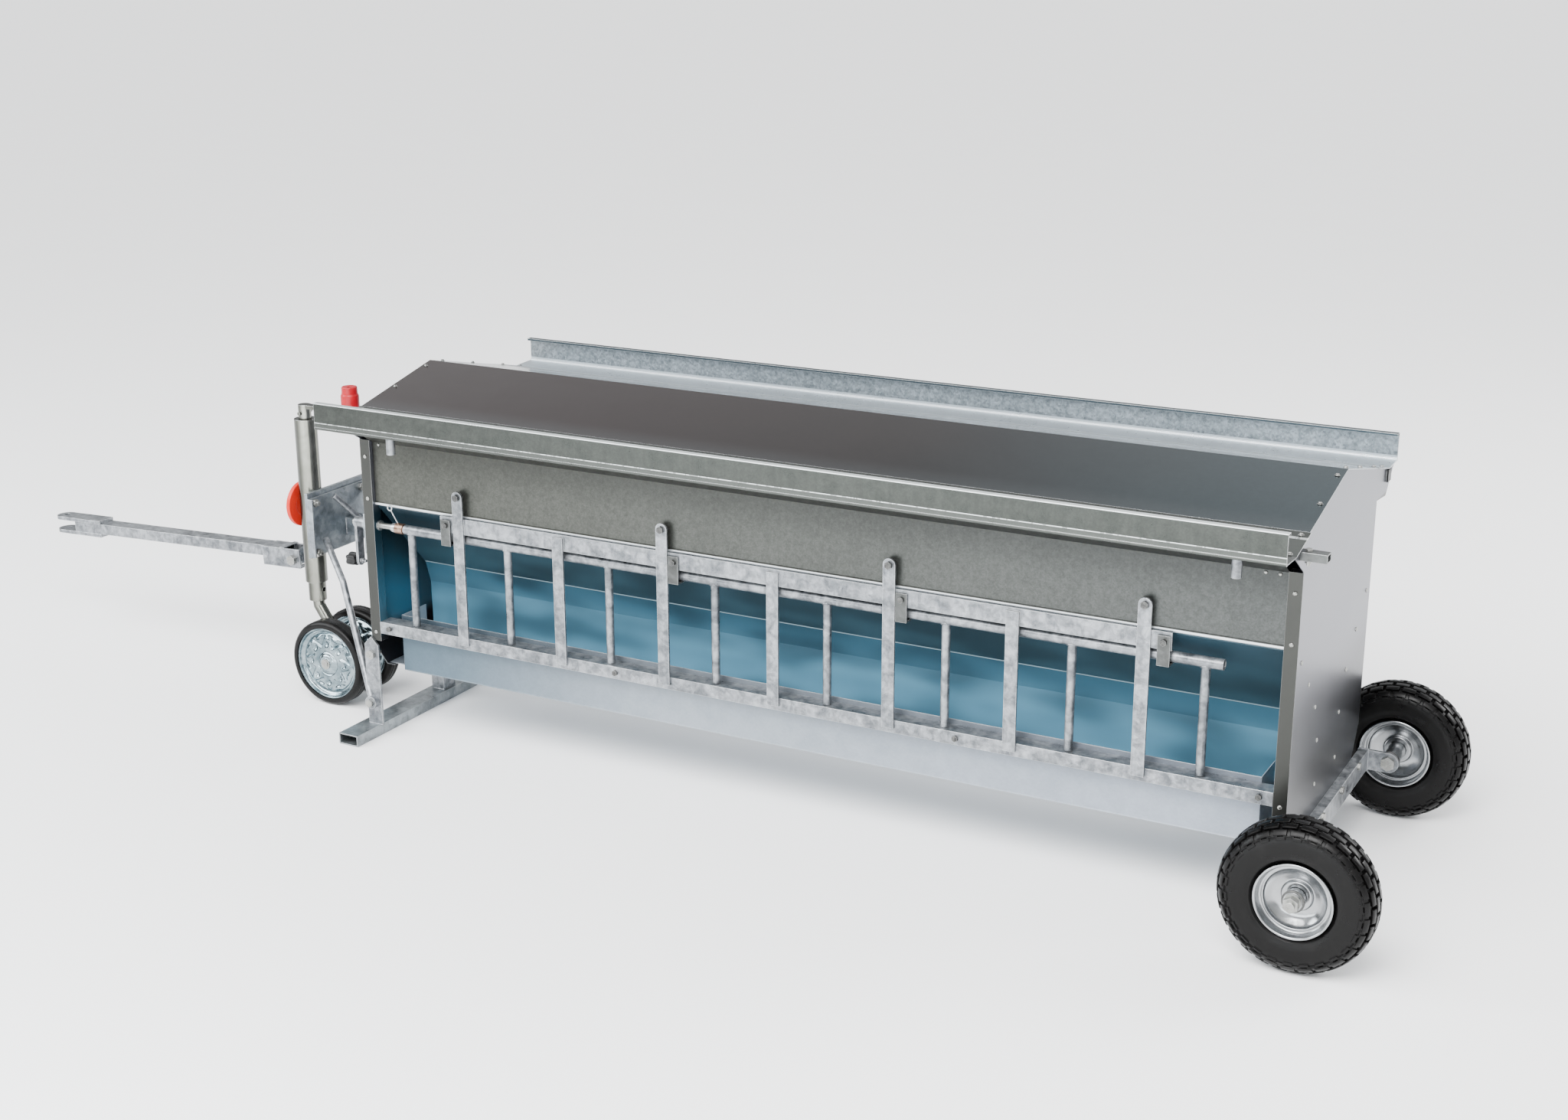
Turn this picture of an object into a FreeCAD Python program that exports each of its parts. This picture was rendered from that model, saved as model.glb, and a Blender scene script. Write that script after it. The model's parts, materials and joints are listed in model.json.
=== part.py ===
import FreeCAD, Part
import math
import os
from FreeCAD import Vector

# Towable two-sided livestock creep feeder, in millimetres.
# X runs along the body, from the draw bar (-X) to the running wheels (+X). Y runs across it and
# Z is up from the ground. The model is laid out about the middle of the body, and every piece is
# moved along X by FRAME_SHIFT when it is written, so that the origin lies under the middle of the
# whole object's box.

# ---- driving dimensions ---------------------------------------------------------------------
HALF_LENGTH = 1200.0        # end panel's outer face from the middle
HALF_DEPTH = 304.0          # front post's outer face from the mid plane
SHEET = 2.0
POST = 30.0                 # folded post at each edge of an end panel
POST_DEPTH = 28.0
POST_TOP = 799.0
POST_BOTTOM = 262.0
PANEL_BOTTOM = 178.0
PANEL_BOTTOM_HALF = 250.0
RIDGE_Z = 943.0
ROOF_FALL = 0.227           # drop per unit of depth
ROOF_BREAK_Y = 285.0        # the roof sheet ends and the gutter begins
FLARE_Y = 388.0
FLARE_Z = 855.0
REAR_FLARE_Y = 452.0
GUTTER_Y = 459.0
GUTTER_TOP = 921.0
GUTTER_HALF_LENGTH = 1205.0
WALL_Y = 292.0              # outer face of the front and rear walls
WALL_BOTTOM = 629.0
THROAT_Y = 108.0
THROAT_TOP = 425.0
THROAT_BOTTOM = 250.0
TROUGH_HALF_LENGTH = 1133.0
TROUGH_Y = 262.0
TROUGH_BOTTOM = 176.0
TROUGH_LIP = 327.0

RAIL_Y = 305.0              # outer face of the lower and upper rails
RAIL_BOTTOM = 284.0
RAIL_TOP = 315.0
UPPER_RAIL_BOTTOM = 588.0
UPPER_RAIL_TOP = 628.0
UPPER_RAIL_START = -958.0
UPPER_RAIL_END = 936.0
BAR_PITCH = 296.0
FIRST_ROUND_BAR = -1066.0
FIRST_FLAT_BAR = -900.0
ROUND_BARS = 8
FLAT_BARS = 7
ROUND_BAR_R = 10.0
ROUND_BAR_FOOT = 316.0
FLAT_BAR_WIDTH = 30.0
FLAT_BAR_THICKNESS = 6.0
FLAT_BAR_FOOT = 296.0
TALL_BAR_TOP = 698.0
TALL_BAR_BOLT = 683.0
SHORT_BAR_TOP = 622.0
SLIDE_Y = 285.0             # axis of the sliding tube
SLIDE_Z = 570.0
SLIDE_R = 12.5
SLIDE_WALL = 2.5
SLIDE_START = -1085.0
SLIDE_END = 1045.0
CLIP_X = (-940.0, -278.0, 314.0, 920.0)
CLIP_WIDTH = 28.0
COUPLING_START = -1125.0

WHEEL_X = 1269.0
WHEEL_Y = 437.5
WHEEL_R = 165.0
WHEEL_HALF_WIDTH = 49.0
RIM_R = 84.0
AXLE_R = 10.0
HUB_R = 20.0
HUB_IN = 342.0
HUB_OUT = 480.0
BEAM_DEPTH = 22.0           # axle beam, along X
BEAM_BOTTOM = 140.0
BEAM_TOP = 190.0
BEAM_HALF = 332.0
LUG_THICKNESS = 8.0
LUG_R = 24.0

JACK_X = -1540.0
JACK_Y = -115.0
JACK_R = 30.0
JACK_WALL = 3.0
JACK_TOP = 773.0
JACK_BOTTOM = 319.0
JACK_INNER_R = 24.0
JACK_INNER_TOP = 715.0
JACK_INNER_LOW = 265.0
JOCKEY_X = -1452.0
JOCKEY_R = 118.0
JOCKEY_RIM_R = 101.0
JOCKEY_OFFSET = 62.5
JOCKEY_HALF_WIDTH = 25.0
JOCKEY_AXLE_R = 8.0
JACK_CRANK_Z = 807.0
JACK_CRANK_LENGTH = 158.0

PLATE_X = -1505.0           # tow plate's outer face
PLATE_THICKNESS = 5.0
PLATE_HALF = 172.0
PLATE_BOTTOM = 404.0
PLATE_TOP = 566.0
BRACKET_THICKNESS = 8.0
BEAM_Z = 455.0              # tow beam's axis
HINGE_X = -1697.0
HINGE_Z = 331.0
HINGE_R = 8.0
LUG_NOSE_R = 20.0
DRAWBAR_WIDTH = 50.0
DRAWBAR_HEIGHT = 30.0
DRAWBAR_DROOP = 2.3         # degrees below level when it rests on its stop
DRAWBAR_START = -38.0       # these four run from the hinge, along the draw bar
DRAWBAR_END = -848.0
FORK_INNER = -743.0
FORK_TIP = -933.0
FORK_HOLE = -903.0
FORK_THICKNESS = 10.0
FORK_WIDTH = 54.0
FORK_HOLE_R = 10.0

SKID_X = -1215.0            # middle of the skid foot
SKID_HALF = 406.0
UPRIGHT_X = -1200.0
SKID_PIVOT_Z = 223.0
SKID_STAY_Z = 94.0

EAVE_WIDTH = 28.0
EAVE_TUBES = ((-336.0, 846.0, 18.0), (388.0, 838.0, 28.0))   # axis y, axis z, height; front then rear
SPOUT_R = 11.0
SPOUTS = ((-364.0, 788.0), (360.0, 745.0))       # axis y and open lower end, front then rear
SPOUTS_X = (-1052.0, 1080.0)
SPOUT_TOP = 855.5              # just under the gutter's floor
REFLECTOR_X = -1590.0

SCREW_R = 8.0               # grille adjusting screws
BUSH_R = 12.0
CRANK_X = -1236.5           # middle of a crank arm's thickness
CRANK_LENGTH = 103.0
KNOB_R = 19.0
RUNNING_FIT = 0.05
CLEAR = 0.4

ROOF_BREAK_Z = RIDGE_Z - ROOF_FALL * ROOF_BREAK_Y
DROOP = math.radians(DRAWBAR_DROOP)
TIP_X = HINGE_X + FORK_TIP * math.cos(DROOP) - (DRAWBAR_HEIGHT + FORK_THICKNESS) * math.sin(DROOP)
FRAME_SHIFT = -(TIP_X + WHEEL_X + WHEEL_R) / 2

X_AXIS = Vector(1, 0, 0)
Y_AXIS = Vector(0, 1, 0)
Z_AXIS = Vector(0, 0, 1)


# ---- helpers --------------------------------------------------------------------------------
def box(x0, x1, y0, y1, z0, z1):
    low = Vector(min(x0, x1), min(y0, y1), min(z0, z1))
    return Part.makeBox(abs(x1 - x0), abs(y1 - y0), abs(z1 - z0), low)


def cylinder(start, axis, radius, length):
    return Part.makeCylinder(radius, length, Vector(*start), axis)


def pipe(start, axis, outer, inner, length):
    return cylinder(start, axis, outer, length).cut(cylinder(start, axis, inner, length))


def rod(start, end, radius):
    a = Vector(*start)
    b = Vector(*end)
    return Part.makeCylinder(radius, (b - a).Length, a, b - a)


def fuse(shapes):
    joined = shapes[0].multiFuse(shapes[1:]) if len(shapes) > 1 else shapes[0]
    return joined.removeSplitter()


def extrude(points, direction):
    outline = Part.makePolygon([Vector(*p) for p in points] + [Vector(*points[0])])
    return Part.Face(outline).extrude(direction)


def strip_outline(points, thickness):
    """Both sides of a bent strip: its path, then the same path set off by its thickness."""
    inner = []
    for i, point in enumerate(points):
        before = points[max(i - 1, 0)]
        after = points[min(i + 1, len(points) - 1)]
        normals = []
        for a, b in ((before, point), (point, after)):
            length = math.hypot(b[0] - a[0], b[1] - a[1])
            if length > 0:
                normals.append((-(b[1] - a[1]) / length, (b[0] - a[0]) / length))
        nx = sum(n[0] for n in normals)
        ny = sum(n[1] for n in normals)
        scale = thickness * len(normals) / (nx * nx + ny * ny)
        inner.append((point[0] + nx * scale, point[1] + ny * scale))
    return list(points) + inner[::-1]


def folded_sheet(points, thickness, half_length):
    """A sheet folded along lines parallel to X, from its (y, z) path."""
    outline = [(-half_length, y, z) for y, z in strip_outline(points, thickness)]
    return extrude(outline, Vector(2 * half_length, 0, 0))


def mirrored(shape):
    return shape.mirror(Vector(0, 0, 0), Y_AXIS)


def hexagon(centre, axis, across_flats, height):
    """A hexagonal bolt head or nut that starts at centre and rises along axis."""
    radius = across_flats / math.sqrt(3)
    points = []
    for i in range(6):
        angle = math.radians(60 * i + 30)
        points.append(Vector(radius * math.cos(angle), radius * math.sin(angle), 0))
    solid = Part.Face(Part.makePolygon(points + [points[0]])).extrude(Vector(0, 0, height))
    solid.Placement = FreeCAD.Placement(Vector(*centre), FreeCAD.Rotation(Z_AXIS, axis))
    return solid


def bolt(start, axis, radius, grip):
    """Hex head outside start, shank along axis through grip, then a nut and a stub of thread."""
    base = Vector(*start)
    back = axis * -1
    head = hexagon(tuple(base), back, radius * 3.2, radius * 1.3)
    nut = hexagon(tuple(base + axis * grip), axis, radius * 3.2, radius * 1.6)
    shank = Part.makeCylinder(radius, grip + radius * 3, base, axis)
    return fuse([head, shank, nut])


def bars_from(first, count):
    return [first + BAR_PITCH * i for i in range(count)]


# ---- body sheets ----------------------------------------------------------------------------
def roof_z(y):
    """Height of the roof's upper face at a distance y from the mid plane."""
    return RIDGE_Z - ROOF_FALL * abs(y)


def end_panel(side):
    """Gable-shaped sheet with folded box posts, and flanges along its roof and foot."""
    under = SHEET + 0.2
    outline = [
        (-FLARE_Y, FLARE_Z - under), (0, RIDGE_Z - under), (FLARE_Y, FLARE_Z - under),
        (REAR_FLARE_Y, FLARE_Z - under), (FLARE_Y, 789), (HALF_DEPTH, 797),
        (HALF_DEPTH, POST_BOTTOM), (PANEL_BOTTOM_HALF, PANEL_BOTTOM),
        (-PANEL_BOTTOM_HALF, PANEL_BOTTOM), (-HALF_DEPTH, POST_BOTTOM), (-HALF_DEPTH, POST_TOP),
    ]
    outer = side * HALF_LENGTH
    plate = extrude([(outer, y, z) for y, z in outline], Vector(-side * SHEET, 0, 0))
    pieces = [plate]
    post_in = outer - side * POST
    for sign in (-1, 1):
        face = sign * HALF_DEPTH
        back = face - sign * POST_DEPTH
        post = box(outer, post_in, face, back, POST_BOTTOM, 797)
        inside = box(outer - side * SHEET, post_in + side * SHEET, face - sign * SHEET, back + sign * SHEET, 0, 797)
        pieces.append(post.cut(inside))
    path = [(-ROOF_BREAK_Y, roof_z(ROOF_BREAK_Y) - under), (0, RIDGE_Z - under), (ROOF_BREAK_Y, roof_z(ROOF_BREAK_Y) - under)]
    flange = extrude([(outer, y, z) for y, z in strip_outline(path, -SHEET)], Vector(-side * 25, 0, 0))
    foot = box(outer, outer - side * 25, -PANEL_BOTTOM_HALF, PANEL_BOTTOM_HALF, PANEL_BOTTOM, PANEL_BOTTOM + SHEET)
    panel = fuse(pieces + [flange, foot])
    for y, z, height in EAVE_TUBES:
        half = EAVE_WIDTH / 2
        rise = height / 2
        panel = panel.cut(box(outer - side * 40, outer + side, y - half, y + half, z - rise, z + rise))
    if side < 0:
        for sign in (-1, 1):
            panel = panel.cut(cylinder((outer - 1, sign * SLIDE_Y, SLIDE_Z), X_AXIS, BUSH_R, POST + 2))
    return panel


def roof_sheet():
    path = [(-ROOF_BREAK_Y, roof_z(ROOF_BREAK_Y)), (0, RIDGE_Z), (ROOF_BREAK_Y, roof_z(ROOF_BREAK_Y))]
    return folded_sheet(path, -SHEET, HALF_LENGTH + 2)


def gutter():
    """Rear gutter: sloping floor, level floor, upright rim, turned lip and a rolled hem."""
    path = [
        (ROOF_BREAK_Y + 0.5, roof_z(ROOF_BREAK_Y)),
        (FLARE_Y, FLARE_Z),
        (FLARE_Y + 12, FLARE_Z + 1),
        (GUTTER_Y - 3, FLARE_Z + 3),
        (GUTTER_Y, FLARE_Z + 6),
        (GUTTER_Y, GUTTER_TOP),
        (GUTTER_Y - 14, GUTTER_TOP),
        (GUTTER_Y - 14, GUTTER_TOP - 6),
    ]
    sheet = folded_sheet(path[:5] + [(GUTTER_Y, GUTTER_TOP)], -SHEET, GUTTER_HALF_LENGTH)
    lip = folded_sheet(path[5:], SHEET * 0.75, GUTTER_HALF_LENGTH)
    hem = cylinder((-GUTTER_HALF_LENGTH, GUTTER_Y, FLARE_Z + 3), X_AXIS, 3.5, 2 * GUTTER_HALF_LENGTH)
    return fuse([sheet, lip, hem])


def wall(sign):
    """Front (-1) or rear (1) wall, its rolled bottom edge, and the soffit that meets the gutter."""
    if sign < 0:
        top = [(WALL_Y, 791), (FLARE_Y - 3, FLARE_Z - 5)]
    else:
        top = [(WALL_Y, 794), (FLARE_Y - 2, 786), (REAR_FLARE_Y - 3, FLARE_Z - 4)]
    sheet = folded_sheet([(WALL_Y, WALL_BOTTOM + 3)] + top, SHEET * 0.75, HALF_LENGTH - POST - 1)
    hem = cylinder((1 + POST - HALF_LENGTH, WALL_Y - 1, WALL_BOTTOM + 2), X_AXIS, 5, 2 * (HALF_LENGTH - POST - 1))
    made = fuse([sheet, hem])
    return made if sign > 0 else mirrored(made)


def hopper_sheet():
    """Rear hopper floor: it slopes in from the wall, then drops as one side of the throat."""
    path = [
        (WALL_Y - 6.5, WALL_BOTTOM + 26),
        (WALL_Y - 6.5, WALL_BOTTOM - 8),
        (THROAT_Y, THROAT_TOP),
        (THROAT_Y - 18, THROAT_TOP - 59),
        (THROAT_Y - 20, THROAT_BOTTOM),
    ]
    return folded_sheet(path, -SHEET * 0.75, HALF_LENGTH - POST - 2)


def trough():
    """Open channel under the throat: floor, side walls, and ends tied to the end panels."""
    reach = TROUGH_HALF_LENGTH
    half = TROUGH_Y
    low = TROUGH_BOTTOM + SHEET
    step = THROAT_BOTTOM - 10
    solids = [box(-reach, reach, -half, half, TROUGH_BOTTOM, low)]
    for sign in (-1, 1):
        solids.append(box(-reach, reach, sign * (half - SHEET), sign * half, low, TROUGH_LIP))
    for side in (-1, 1):
        end = side * reach
        room = end - side * SHEET
        solids.append(box(end, room, SHEET - half, half - SHEET, low, step))
        for sign in (-1, 1):
            solids.append(box(end, room, sign * (half - SHEET), sign * (half - 100), step, TROUGH_LIP))
        foot_x = side * (HALF_LENGTH - 4)
        foot_z = PANEL_BOTTOM + SHEET
        solids.append(box(end, foot_x, 20 - half, half - 20, foot_z, foot_z + SHEET))
    return solids


# ---- feeding grille -------------------------------------------------------------------------
def lower_rail():
    """Rear lower rail: an angle whose level flange lies under the foot of every round bar."""
    reach = HALF_LENGTH - POST - 0.5
    front = box(-reach, reach, RAIL_Y - 3, RAIL_Y, RAIL_BOTTOM, RAIL_TOP)
    top = box(-reach, reach, TROUGH_Y, RAIL_Y, RAIL_TOP - 3, RAIL_TOP)
    return fuse([front, top])


def flat_bar(x, top):
    """Rear flat bar on the faces of both rails; a tall bar's top is round."""
    half = FLAT_BAR_WIDTH / 2
    shoulder = top - half if top > UPPER_RAIL_TOP else top
    body = box(x - half, x + half, RAIL_Y, RAIL_Y + FLAT_BAR_THICKNESS, FLAT_BAR_FOOT, shoulder)
    if shoulder == top:
        return body
    return fuse([body, cylinder((x, RAIL_Y, shoulder), Y_AXIS, half, FLAT_BAR_THICKNESS)])


def grille_frame():
    """Rear fixed grille: the upper rail and its flat bars, alternately tall and short."""
    rail = box(UPPER_RAIL_START, UPPER_RAIL_END, RAIL_Y - 5, RAIL_Y, UPPER_RAIL_BOTTOM, UPPER_RAIL_TOP)
    solids = [rail]
    for i, x in enumerate(bars_from(FIRST_FLAT_BAR, FLAT_BARS)):
        solids.append(flat_bar(x, TALL_BAR_TOP if i % 2 == 0 else SHORT_BAR_TOP))
    return solids


def grille_bolts():
    """Bolts and spacers from the tall bars to the walls, rail bolts, and the clips' bolts."""
    solids = []
    for sign in (-1, 1):
        out = Vector(0, sign, 0)
        for x in bars_from(FIRST_FLAT_BAR, FLAT_BARS)[::2]:
            outer = RAIL_Y + FLAT_BAR_THICKNESS
            spacer = cylinder((x, sign * WALL_Y, TALL_BAR_BOLT), out, 9, RAIL_Y - WALL_Y)
            head = hexagon((x, sign * outer, TALL_BAR_BOLT), out, 16, 7)
            solids += [spacer, head]
        for x in CLIP_X:
            solids.append(hexagon((x, sign * (RAIL_Y + 5), 606), out, 13, 5))
        for x in (-1140, -450, 450, 1140):
            solids.append(hexagon((x, sign * RAIL_Y, 300), out, 13, 6))
    return solids


def slide_clips():
    """Hooked plates bolted to the upper rails; each one carries the sliding tube."""
    solids = []
    half = CLIP_WIDTH / 2
    low = SLIDE_Z - SLIDE_R - CLEAR
    inner = SLIDE_Y - SLIDE_R - CLEAR
    for x in CLIP_X:
        plate = box(x - half, x + half, RAIL_Y, RAIL_Y + 5, low - 4, 621)
        hook = box(x - half, x + half, inner - 4, RAIL_Y, low - 4, low)
        tip = box(x - half, x + half, inner - 4, inner, low - 4, low + 10)
        clip = fuse([plate, hook, tip])
        solids += [clip, mirrored(clip)]
    return solids


def sliding_grille():
    """Rear sliding tube with the round bars that are welded under it."""
    length = SLIDE_END - SLIDE_START
    tube = pipe((SLIDE_START, SLIDE_Y, SLIDE_Z), X_AXIS, SLIDE_R, SLIDE_R - SLIDE_WALL, length)
    core = cylinder((SLIDE_START, SLIDE_Y, SLIDE_Z), X_AXIS, SLIDE_R, length)
    solids = [tube]
    for x in bars_from(FIRST_ROUND_BAR, ROUND_BARS):
        bar = cylinder((x, SLIDE_Y, ROUND_BAR_FOOT), Z_AXIS, ROUND_BAR_R, SLIDE_Z - 4 - ROUND_BAR_FOOT)
        solids.append(bar.cut(core))
    return solids


def slide_coupling():
    """Ferrule and sleeve on the tube's end, threaded for the screw, and their wire locking pin."""
    reach = SLIDE_START - 3 - COUPLING_START
    cone = Part.makeCone(11, SLIDE_R + 1, 13, Vector(COUPLING_START, SLIDE_Y, SLIDE_Z), X_AXIS)
    sleeve = cylinder((COUPLING_START + 13, SLIDE_Y, SLIDE_Z), X_AXIS, SLIDE_R + 1.5, reach - 13)
    spigot = cylinder((COUPLING_START + reach, SLIDE_Y, SLIDE_Z), X_AXIS, SLIDE_R - SLIDE_WALL, 15)
    bore = cylinder((COUPLING_START, SLIDE_Y, SLIDE_Z), X_AXIS, SCREW_R + RUNNING_FIT, 60)
    body = fuse([cone, sleeve, spigot]).cut(bore)
    x = COUPLING_START + 20
    top = (x - 10, SLIDE_Y + 16, SLIDE_Z + 50)
    stem = rod((x, SLIDE_Y + 3, SLIDE_Z + SLIDE_R), top, 1.6)
    ring = Part.makeTorus(6.5, 1.6, Vector(top[0] - 2, top[1] + 2, top[2] + 6.5), Y_AXIS)
    return [body, fuse([stem, ring])]


# ---- grille adjusting screw -----------------------------------------------------------------
def adjusting_screw():
    """Rear screw: it turns in the panel's bush, and its far end moves in the coupling."""
    shaft = cylinder((-1250, SLIDE_Y, SLIDE_Z), X_AXIS, SCREW_R, 222)
    collar = pipe((-1167.5, SLIDE_Y, SLIDE_Z), X_AXIS, 13, SCREW_R - 1, 5)
    return fuse([shaft, collar])


def crank_arm():
    """Rear crank arm: a hub pinned on the screw, a hanging flat, and the knob's stud."""
    low = SLIDE_Z - CRANK_LENGTH
    bar = box(CRANK_X - 3.5, CRANK_X + 3.5, SLIDE_Y - 12.5, SLIDE_Y + 12.5, low, SLIDE_Z)
    hub = cylinder((CRANK_X - 6.5, SLIDE_Y, SLIDE_Z), X_AXIS, 14, 31)
    eye = cylinder((CRANK_X - 3.5, SLIDE_Y, low), X_AXIS, 12.5, 7)
    nut = hexagon((CRANK_X + 3.5, SLIDE_Y, low), X_AXIS, 13, 7)
    stud = cylinder((CRANK_X - 40, SLIDE_Y, low), X_AXIS, 4, 58)
    return fuse([bar, hub, eye, nut, stud]).cut(cylinder((CRANK_X - 20, SLIDE_Y, SLIDE_Z), X_AXIS, SCREW_R, 60))


def crank_knob():
    """Rear five-lobed knob that spins on the crank's stud."""
    low = SLIDE_Z - CRANK_LENGTH
    x = CRANK_X - 39
    thick = 28
    lobes = [cylinder((x, SLIDE_Y, low), X_AXIS, 14, thick)]
    for i in range(5):
        angle = math.radians(72 * i + 18)
        y = SLIDE_Y + (KNOB_R - 6) * math.cos(angle)
        z = low + (KNOB_R - 6) * math.sin(angle)
        lobes.append(cylinder((x, y, z), X_AXIS, 6, thick))
    bore = cylinder((x - 1, SLIDE_Y, low), X_AXIS, 4 + RUNNING_FIT, thick + 2)
    washer = cylinder((x + thick, SLIDE_Y, low), X_AXIS, 8, 7)
    return fuse(lobes + [washer]).cut(bore).cut(cylinder((x + thick, SLIDE_Y, low), X_AXIS, 4 + RUNNING_FIT, 8))


def screw_bushes():
    """Flanged bushes through the left panel's posts, and the bracket plates behind them."""
    solids = []
    for sign in (-1, 1):
        y = sign * SLIDE_Y
        plate = box(-HALF_LENGTH - 4, -HALF_LENGTH, y - 19, y + 19, 495, 600)
        flange = cylinder((-HALF_LENGTH - 10, y, SLIDE_Z), X_AXIS, 18, 10)
        sleeve = cylinder((-HALF_LENGTH, y, SLIDE_Z), X_AXIS, BUSH_R, POST + 2)
        bush = fuse([plate, flange, sleeve])
        solids.append(bush.cut(cylinder((-HALF_LENGTH - 20, y, SLIDE_Z), X_AXIS, SCREW_R + RUNNING_FIT, 60)))
    return solids


# ---- eaves ----------------------------------------------------------------------------------
def eave_tubes():
    """Tubes under the gutters; the flatter front one runs on past the right panel."""
    solids = []
    for (y, z, height), end in zip(EAVE_TUBES, (HALF_LENGTH + 56, HALF_LENGTH + 2)):
        half = EAVE_WIDTH / 2
        rise = height / 2
        outer = box(-HALF_LENGTH - 2, end, y - half, y + half, z - rise, z + rise)
        room = box(-HALF_LENGTH - 2, end, y - half + 2, y + half - 2, z - rise + 2, z + rise - 2)
        solids.append(outer.cut(room))
    return solids


def tube_caps():
    """Black caps in three of the eave tubes' four ends; the front right end is open."""
    solids = []
    front, rear = EAVE_TUBES
    for (y, z, height), way in ((front, -1), (rear, -1), (rear, 1)):
        x = way * (HALF_LENGTH + 2)
        half = EAVE_WIDTH / 2
        rise = height / 2
        head = box(x, x + way * 4, y - half, y + half, z - rise, z + rise)
        plug = box(x, x - way * 14, y - half + 2, y + half - 2, z - rise + 2, z + rise - 2)
        solids.append(fuse([head, plug]))
    return solids


def drain_spouts():
    """Short pipes down from the gutters' floors through the soffits, near their ends."""
    solids = []
    for x in SPOUTS_X:
        for y, low in SPOUTS:
            solids.append(pipe((x, y, low), Z_AXIS, SPOUT_R, SPOUT_R - 2, SPOUT_TOP - low))
    return solids


def sheet_fixings():
    """Rivet heads on the end panels and posts, and screw heads along the roof's ends."""
    solids = []
    panel_rivets = ((271, 596), (199, 525), (130, 451), (93, 363), (86, 258))
    for side in (-1, 1):
        end = side * HALF_LENGTH
        for sign in (-1, 1):
            for y, z in panel_rivets:
                if side > 0 or z != 596:
                    solids.append(cylinder((end, sign * y, z), Vector(side, 0, 0), 5, 3))
            for z in (753, 643, 285):
                solids.append(cylinder((end - side * 15, sign * HALF_DEPTH, z), Vector(0, sign, 0), 5, 3))
            for y in (35, 165, 300, 380):
                solids.append(cylinder((end - side * 12, sign * y, roof_z(y) - 2), Z_AXIS, 6, 6))
            for x in (1120, 1150):
                solids.append(cylinder((side * x, sign * WALL_Y, 785), Vector(0, sign, 0), 4, 3))
    return solids


# ---- running wheels -------------------------------------------------------------------------
def axle_beam():
    """Rectangular tube across the right panel's foot, with a round-ended lug at each end."""
    x0 = HALF_LENGTH
    outer = box(x0, x0 + BEAM_DEPTH, -BEAM_HALF, BEAM_HALF, BEAM_BOTTOM, BEAM_TOP)
    inner = box(x0 + 3, x0 + BEAM_DEPTH - 3, -BEAM_HALF, BEAM_HALF, BEAM_BOTTOM + 3, BEAM_TOP - 3)
    solids = [outer.cut(inner)]
    for sign in (-1, 1):
        y0 = sign * BEAM_HALF
        y1 = y0 + sign * LUG_THICKNESS
        plate = box(x0, WHEEL_X, y0, y1, WHEEL_R - LUG_R, WHEEL_R + LUG_R)
        start = (WHEEL_X, min(y0, y1), WHEEL_R)
        lug = fuse([plate, cylinder(start, Y_AXIS, LUG_R, LUG_THICKNESS)])
        solids.append(lug.cut(cylinder(start, Y_AXIS, AXLE_R, LUG_THICKNESS)))
    return solids


def axle_bolts():
    """Stub axle bolts: head inside the lug, shank through the hub, washer and nut outside."""
    solids = []
    lug_face = BEAM_HALF + LUG_THICKNESS
    for sign in (-1, 1):
        way = Vector(0, sign, 0)
        head = hexagon((WHEEL_X, sign * BEAM_HALF, WHEEL_R), way * -1, 30, 10)
        shank = cylinder((WHEEL_X, sign * BEAM_HALF, WHEEL_R), way, AXLE_R, 506 - BEAM_HALF)
        inner_washer = cylinder((WHEEL_X, sign * lug_face, WHEEL_R), way, 17, 1.6)
        washer = cylinder((WHEEL_X, sign * (HUB_OUT + CLEAR), WHEEL_R), way, 18, 3)
        nut = hexagon((WHEEL_X, sign * (HUB_OUT + CLEAR + 3), WHEEL_R), way, 30, 16)
        solids.append(fuse([head, shank, inner_washer, washer, nut]))
    return solids


def ring_of(points, centre):
    """Revolve a closed (radius, y) outline about the Y axis through centre."""
    cx, cy, cz = centre
    outline = [Vector(cx + r, cy + y, cz) for r, y in points]
    face = Part.Face(Part.makePolygon(outline + [outline[0]]))
    return face.revolve(Vector(cx, cy, cz), Y_AXIS, 360)


def tyre(centre):
    """Pneumatic tyre: round side walls, a square tread and an air space over the rim."""
    half = [(RIM_R - 8, 36), (RIM_R + 4, 42), (RIM_R + 30, 48), (142, 49), (156, 46), (WHEEL_R, 36)]
    room = [(154, 32), (140, 41), (RIM_R + 28, 40), (RIM_R + 4, 32), (RIM_R - 8, 26)]
    outline = half + [(r, -y) for r, y in half[::-1]] + [(r, -y) for r, y in room[::-1]] + room
    return ring_of(outline, centre)


def rim(centre):
    """Pressed steel rim: two flanges, a well, and a stepped dish between the well and the hub."""
    outer = [(RIM_R, 44), (RIM_R - 8, 43), (RIM_R - 8, 20), (RIM_R - 14, 10)]
    inner = [(RIM_R - 2, 45), (RIM_R - 10, 45), (RIM_R - 11, 21), (RIM_R - 17, 10)]
    dish = [(RIM_R - 17, 5), (56, 5), (44, 12), (HUB_R, 12)]
    half = outer + [(r, -y) for r, y in outer[::-1]]
    back = [(r, -y) for r, y in inner + dish]
    return ring_of(half + back + (inner + dish)[::-1], centre)


def hub(centre, sign):
    cx, cy, cz = centre
    low = HUB_IN if sign > 0 else -HUB_OUT
    return pipe((cx, low, cz), Y_AXIS, HUB_R, AXLE_R + RUNNING_FIT, HUB_OUT - HUB_IN)


# ---- skid and stays -------------------------------------------------------------------------
def skid_foot():
    outer = box(SKID_X - 30, SKID_X + 30, -SKID_HALF, SKID_HALF, 0, 30)
    return outer.cut(box(SKID_X - 27, SKID_X + 27, -SKID_HALF, SKID_HALF, 3, 27))


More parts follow.
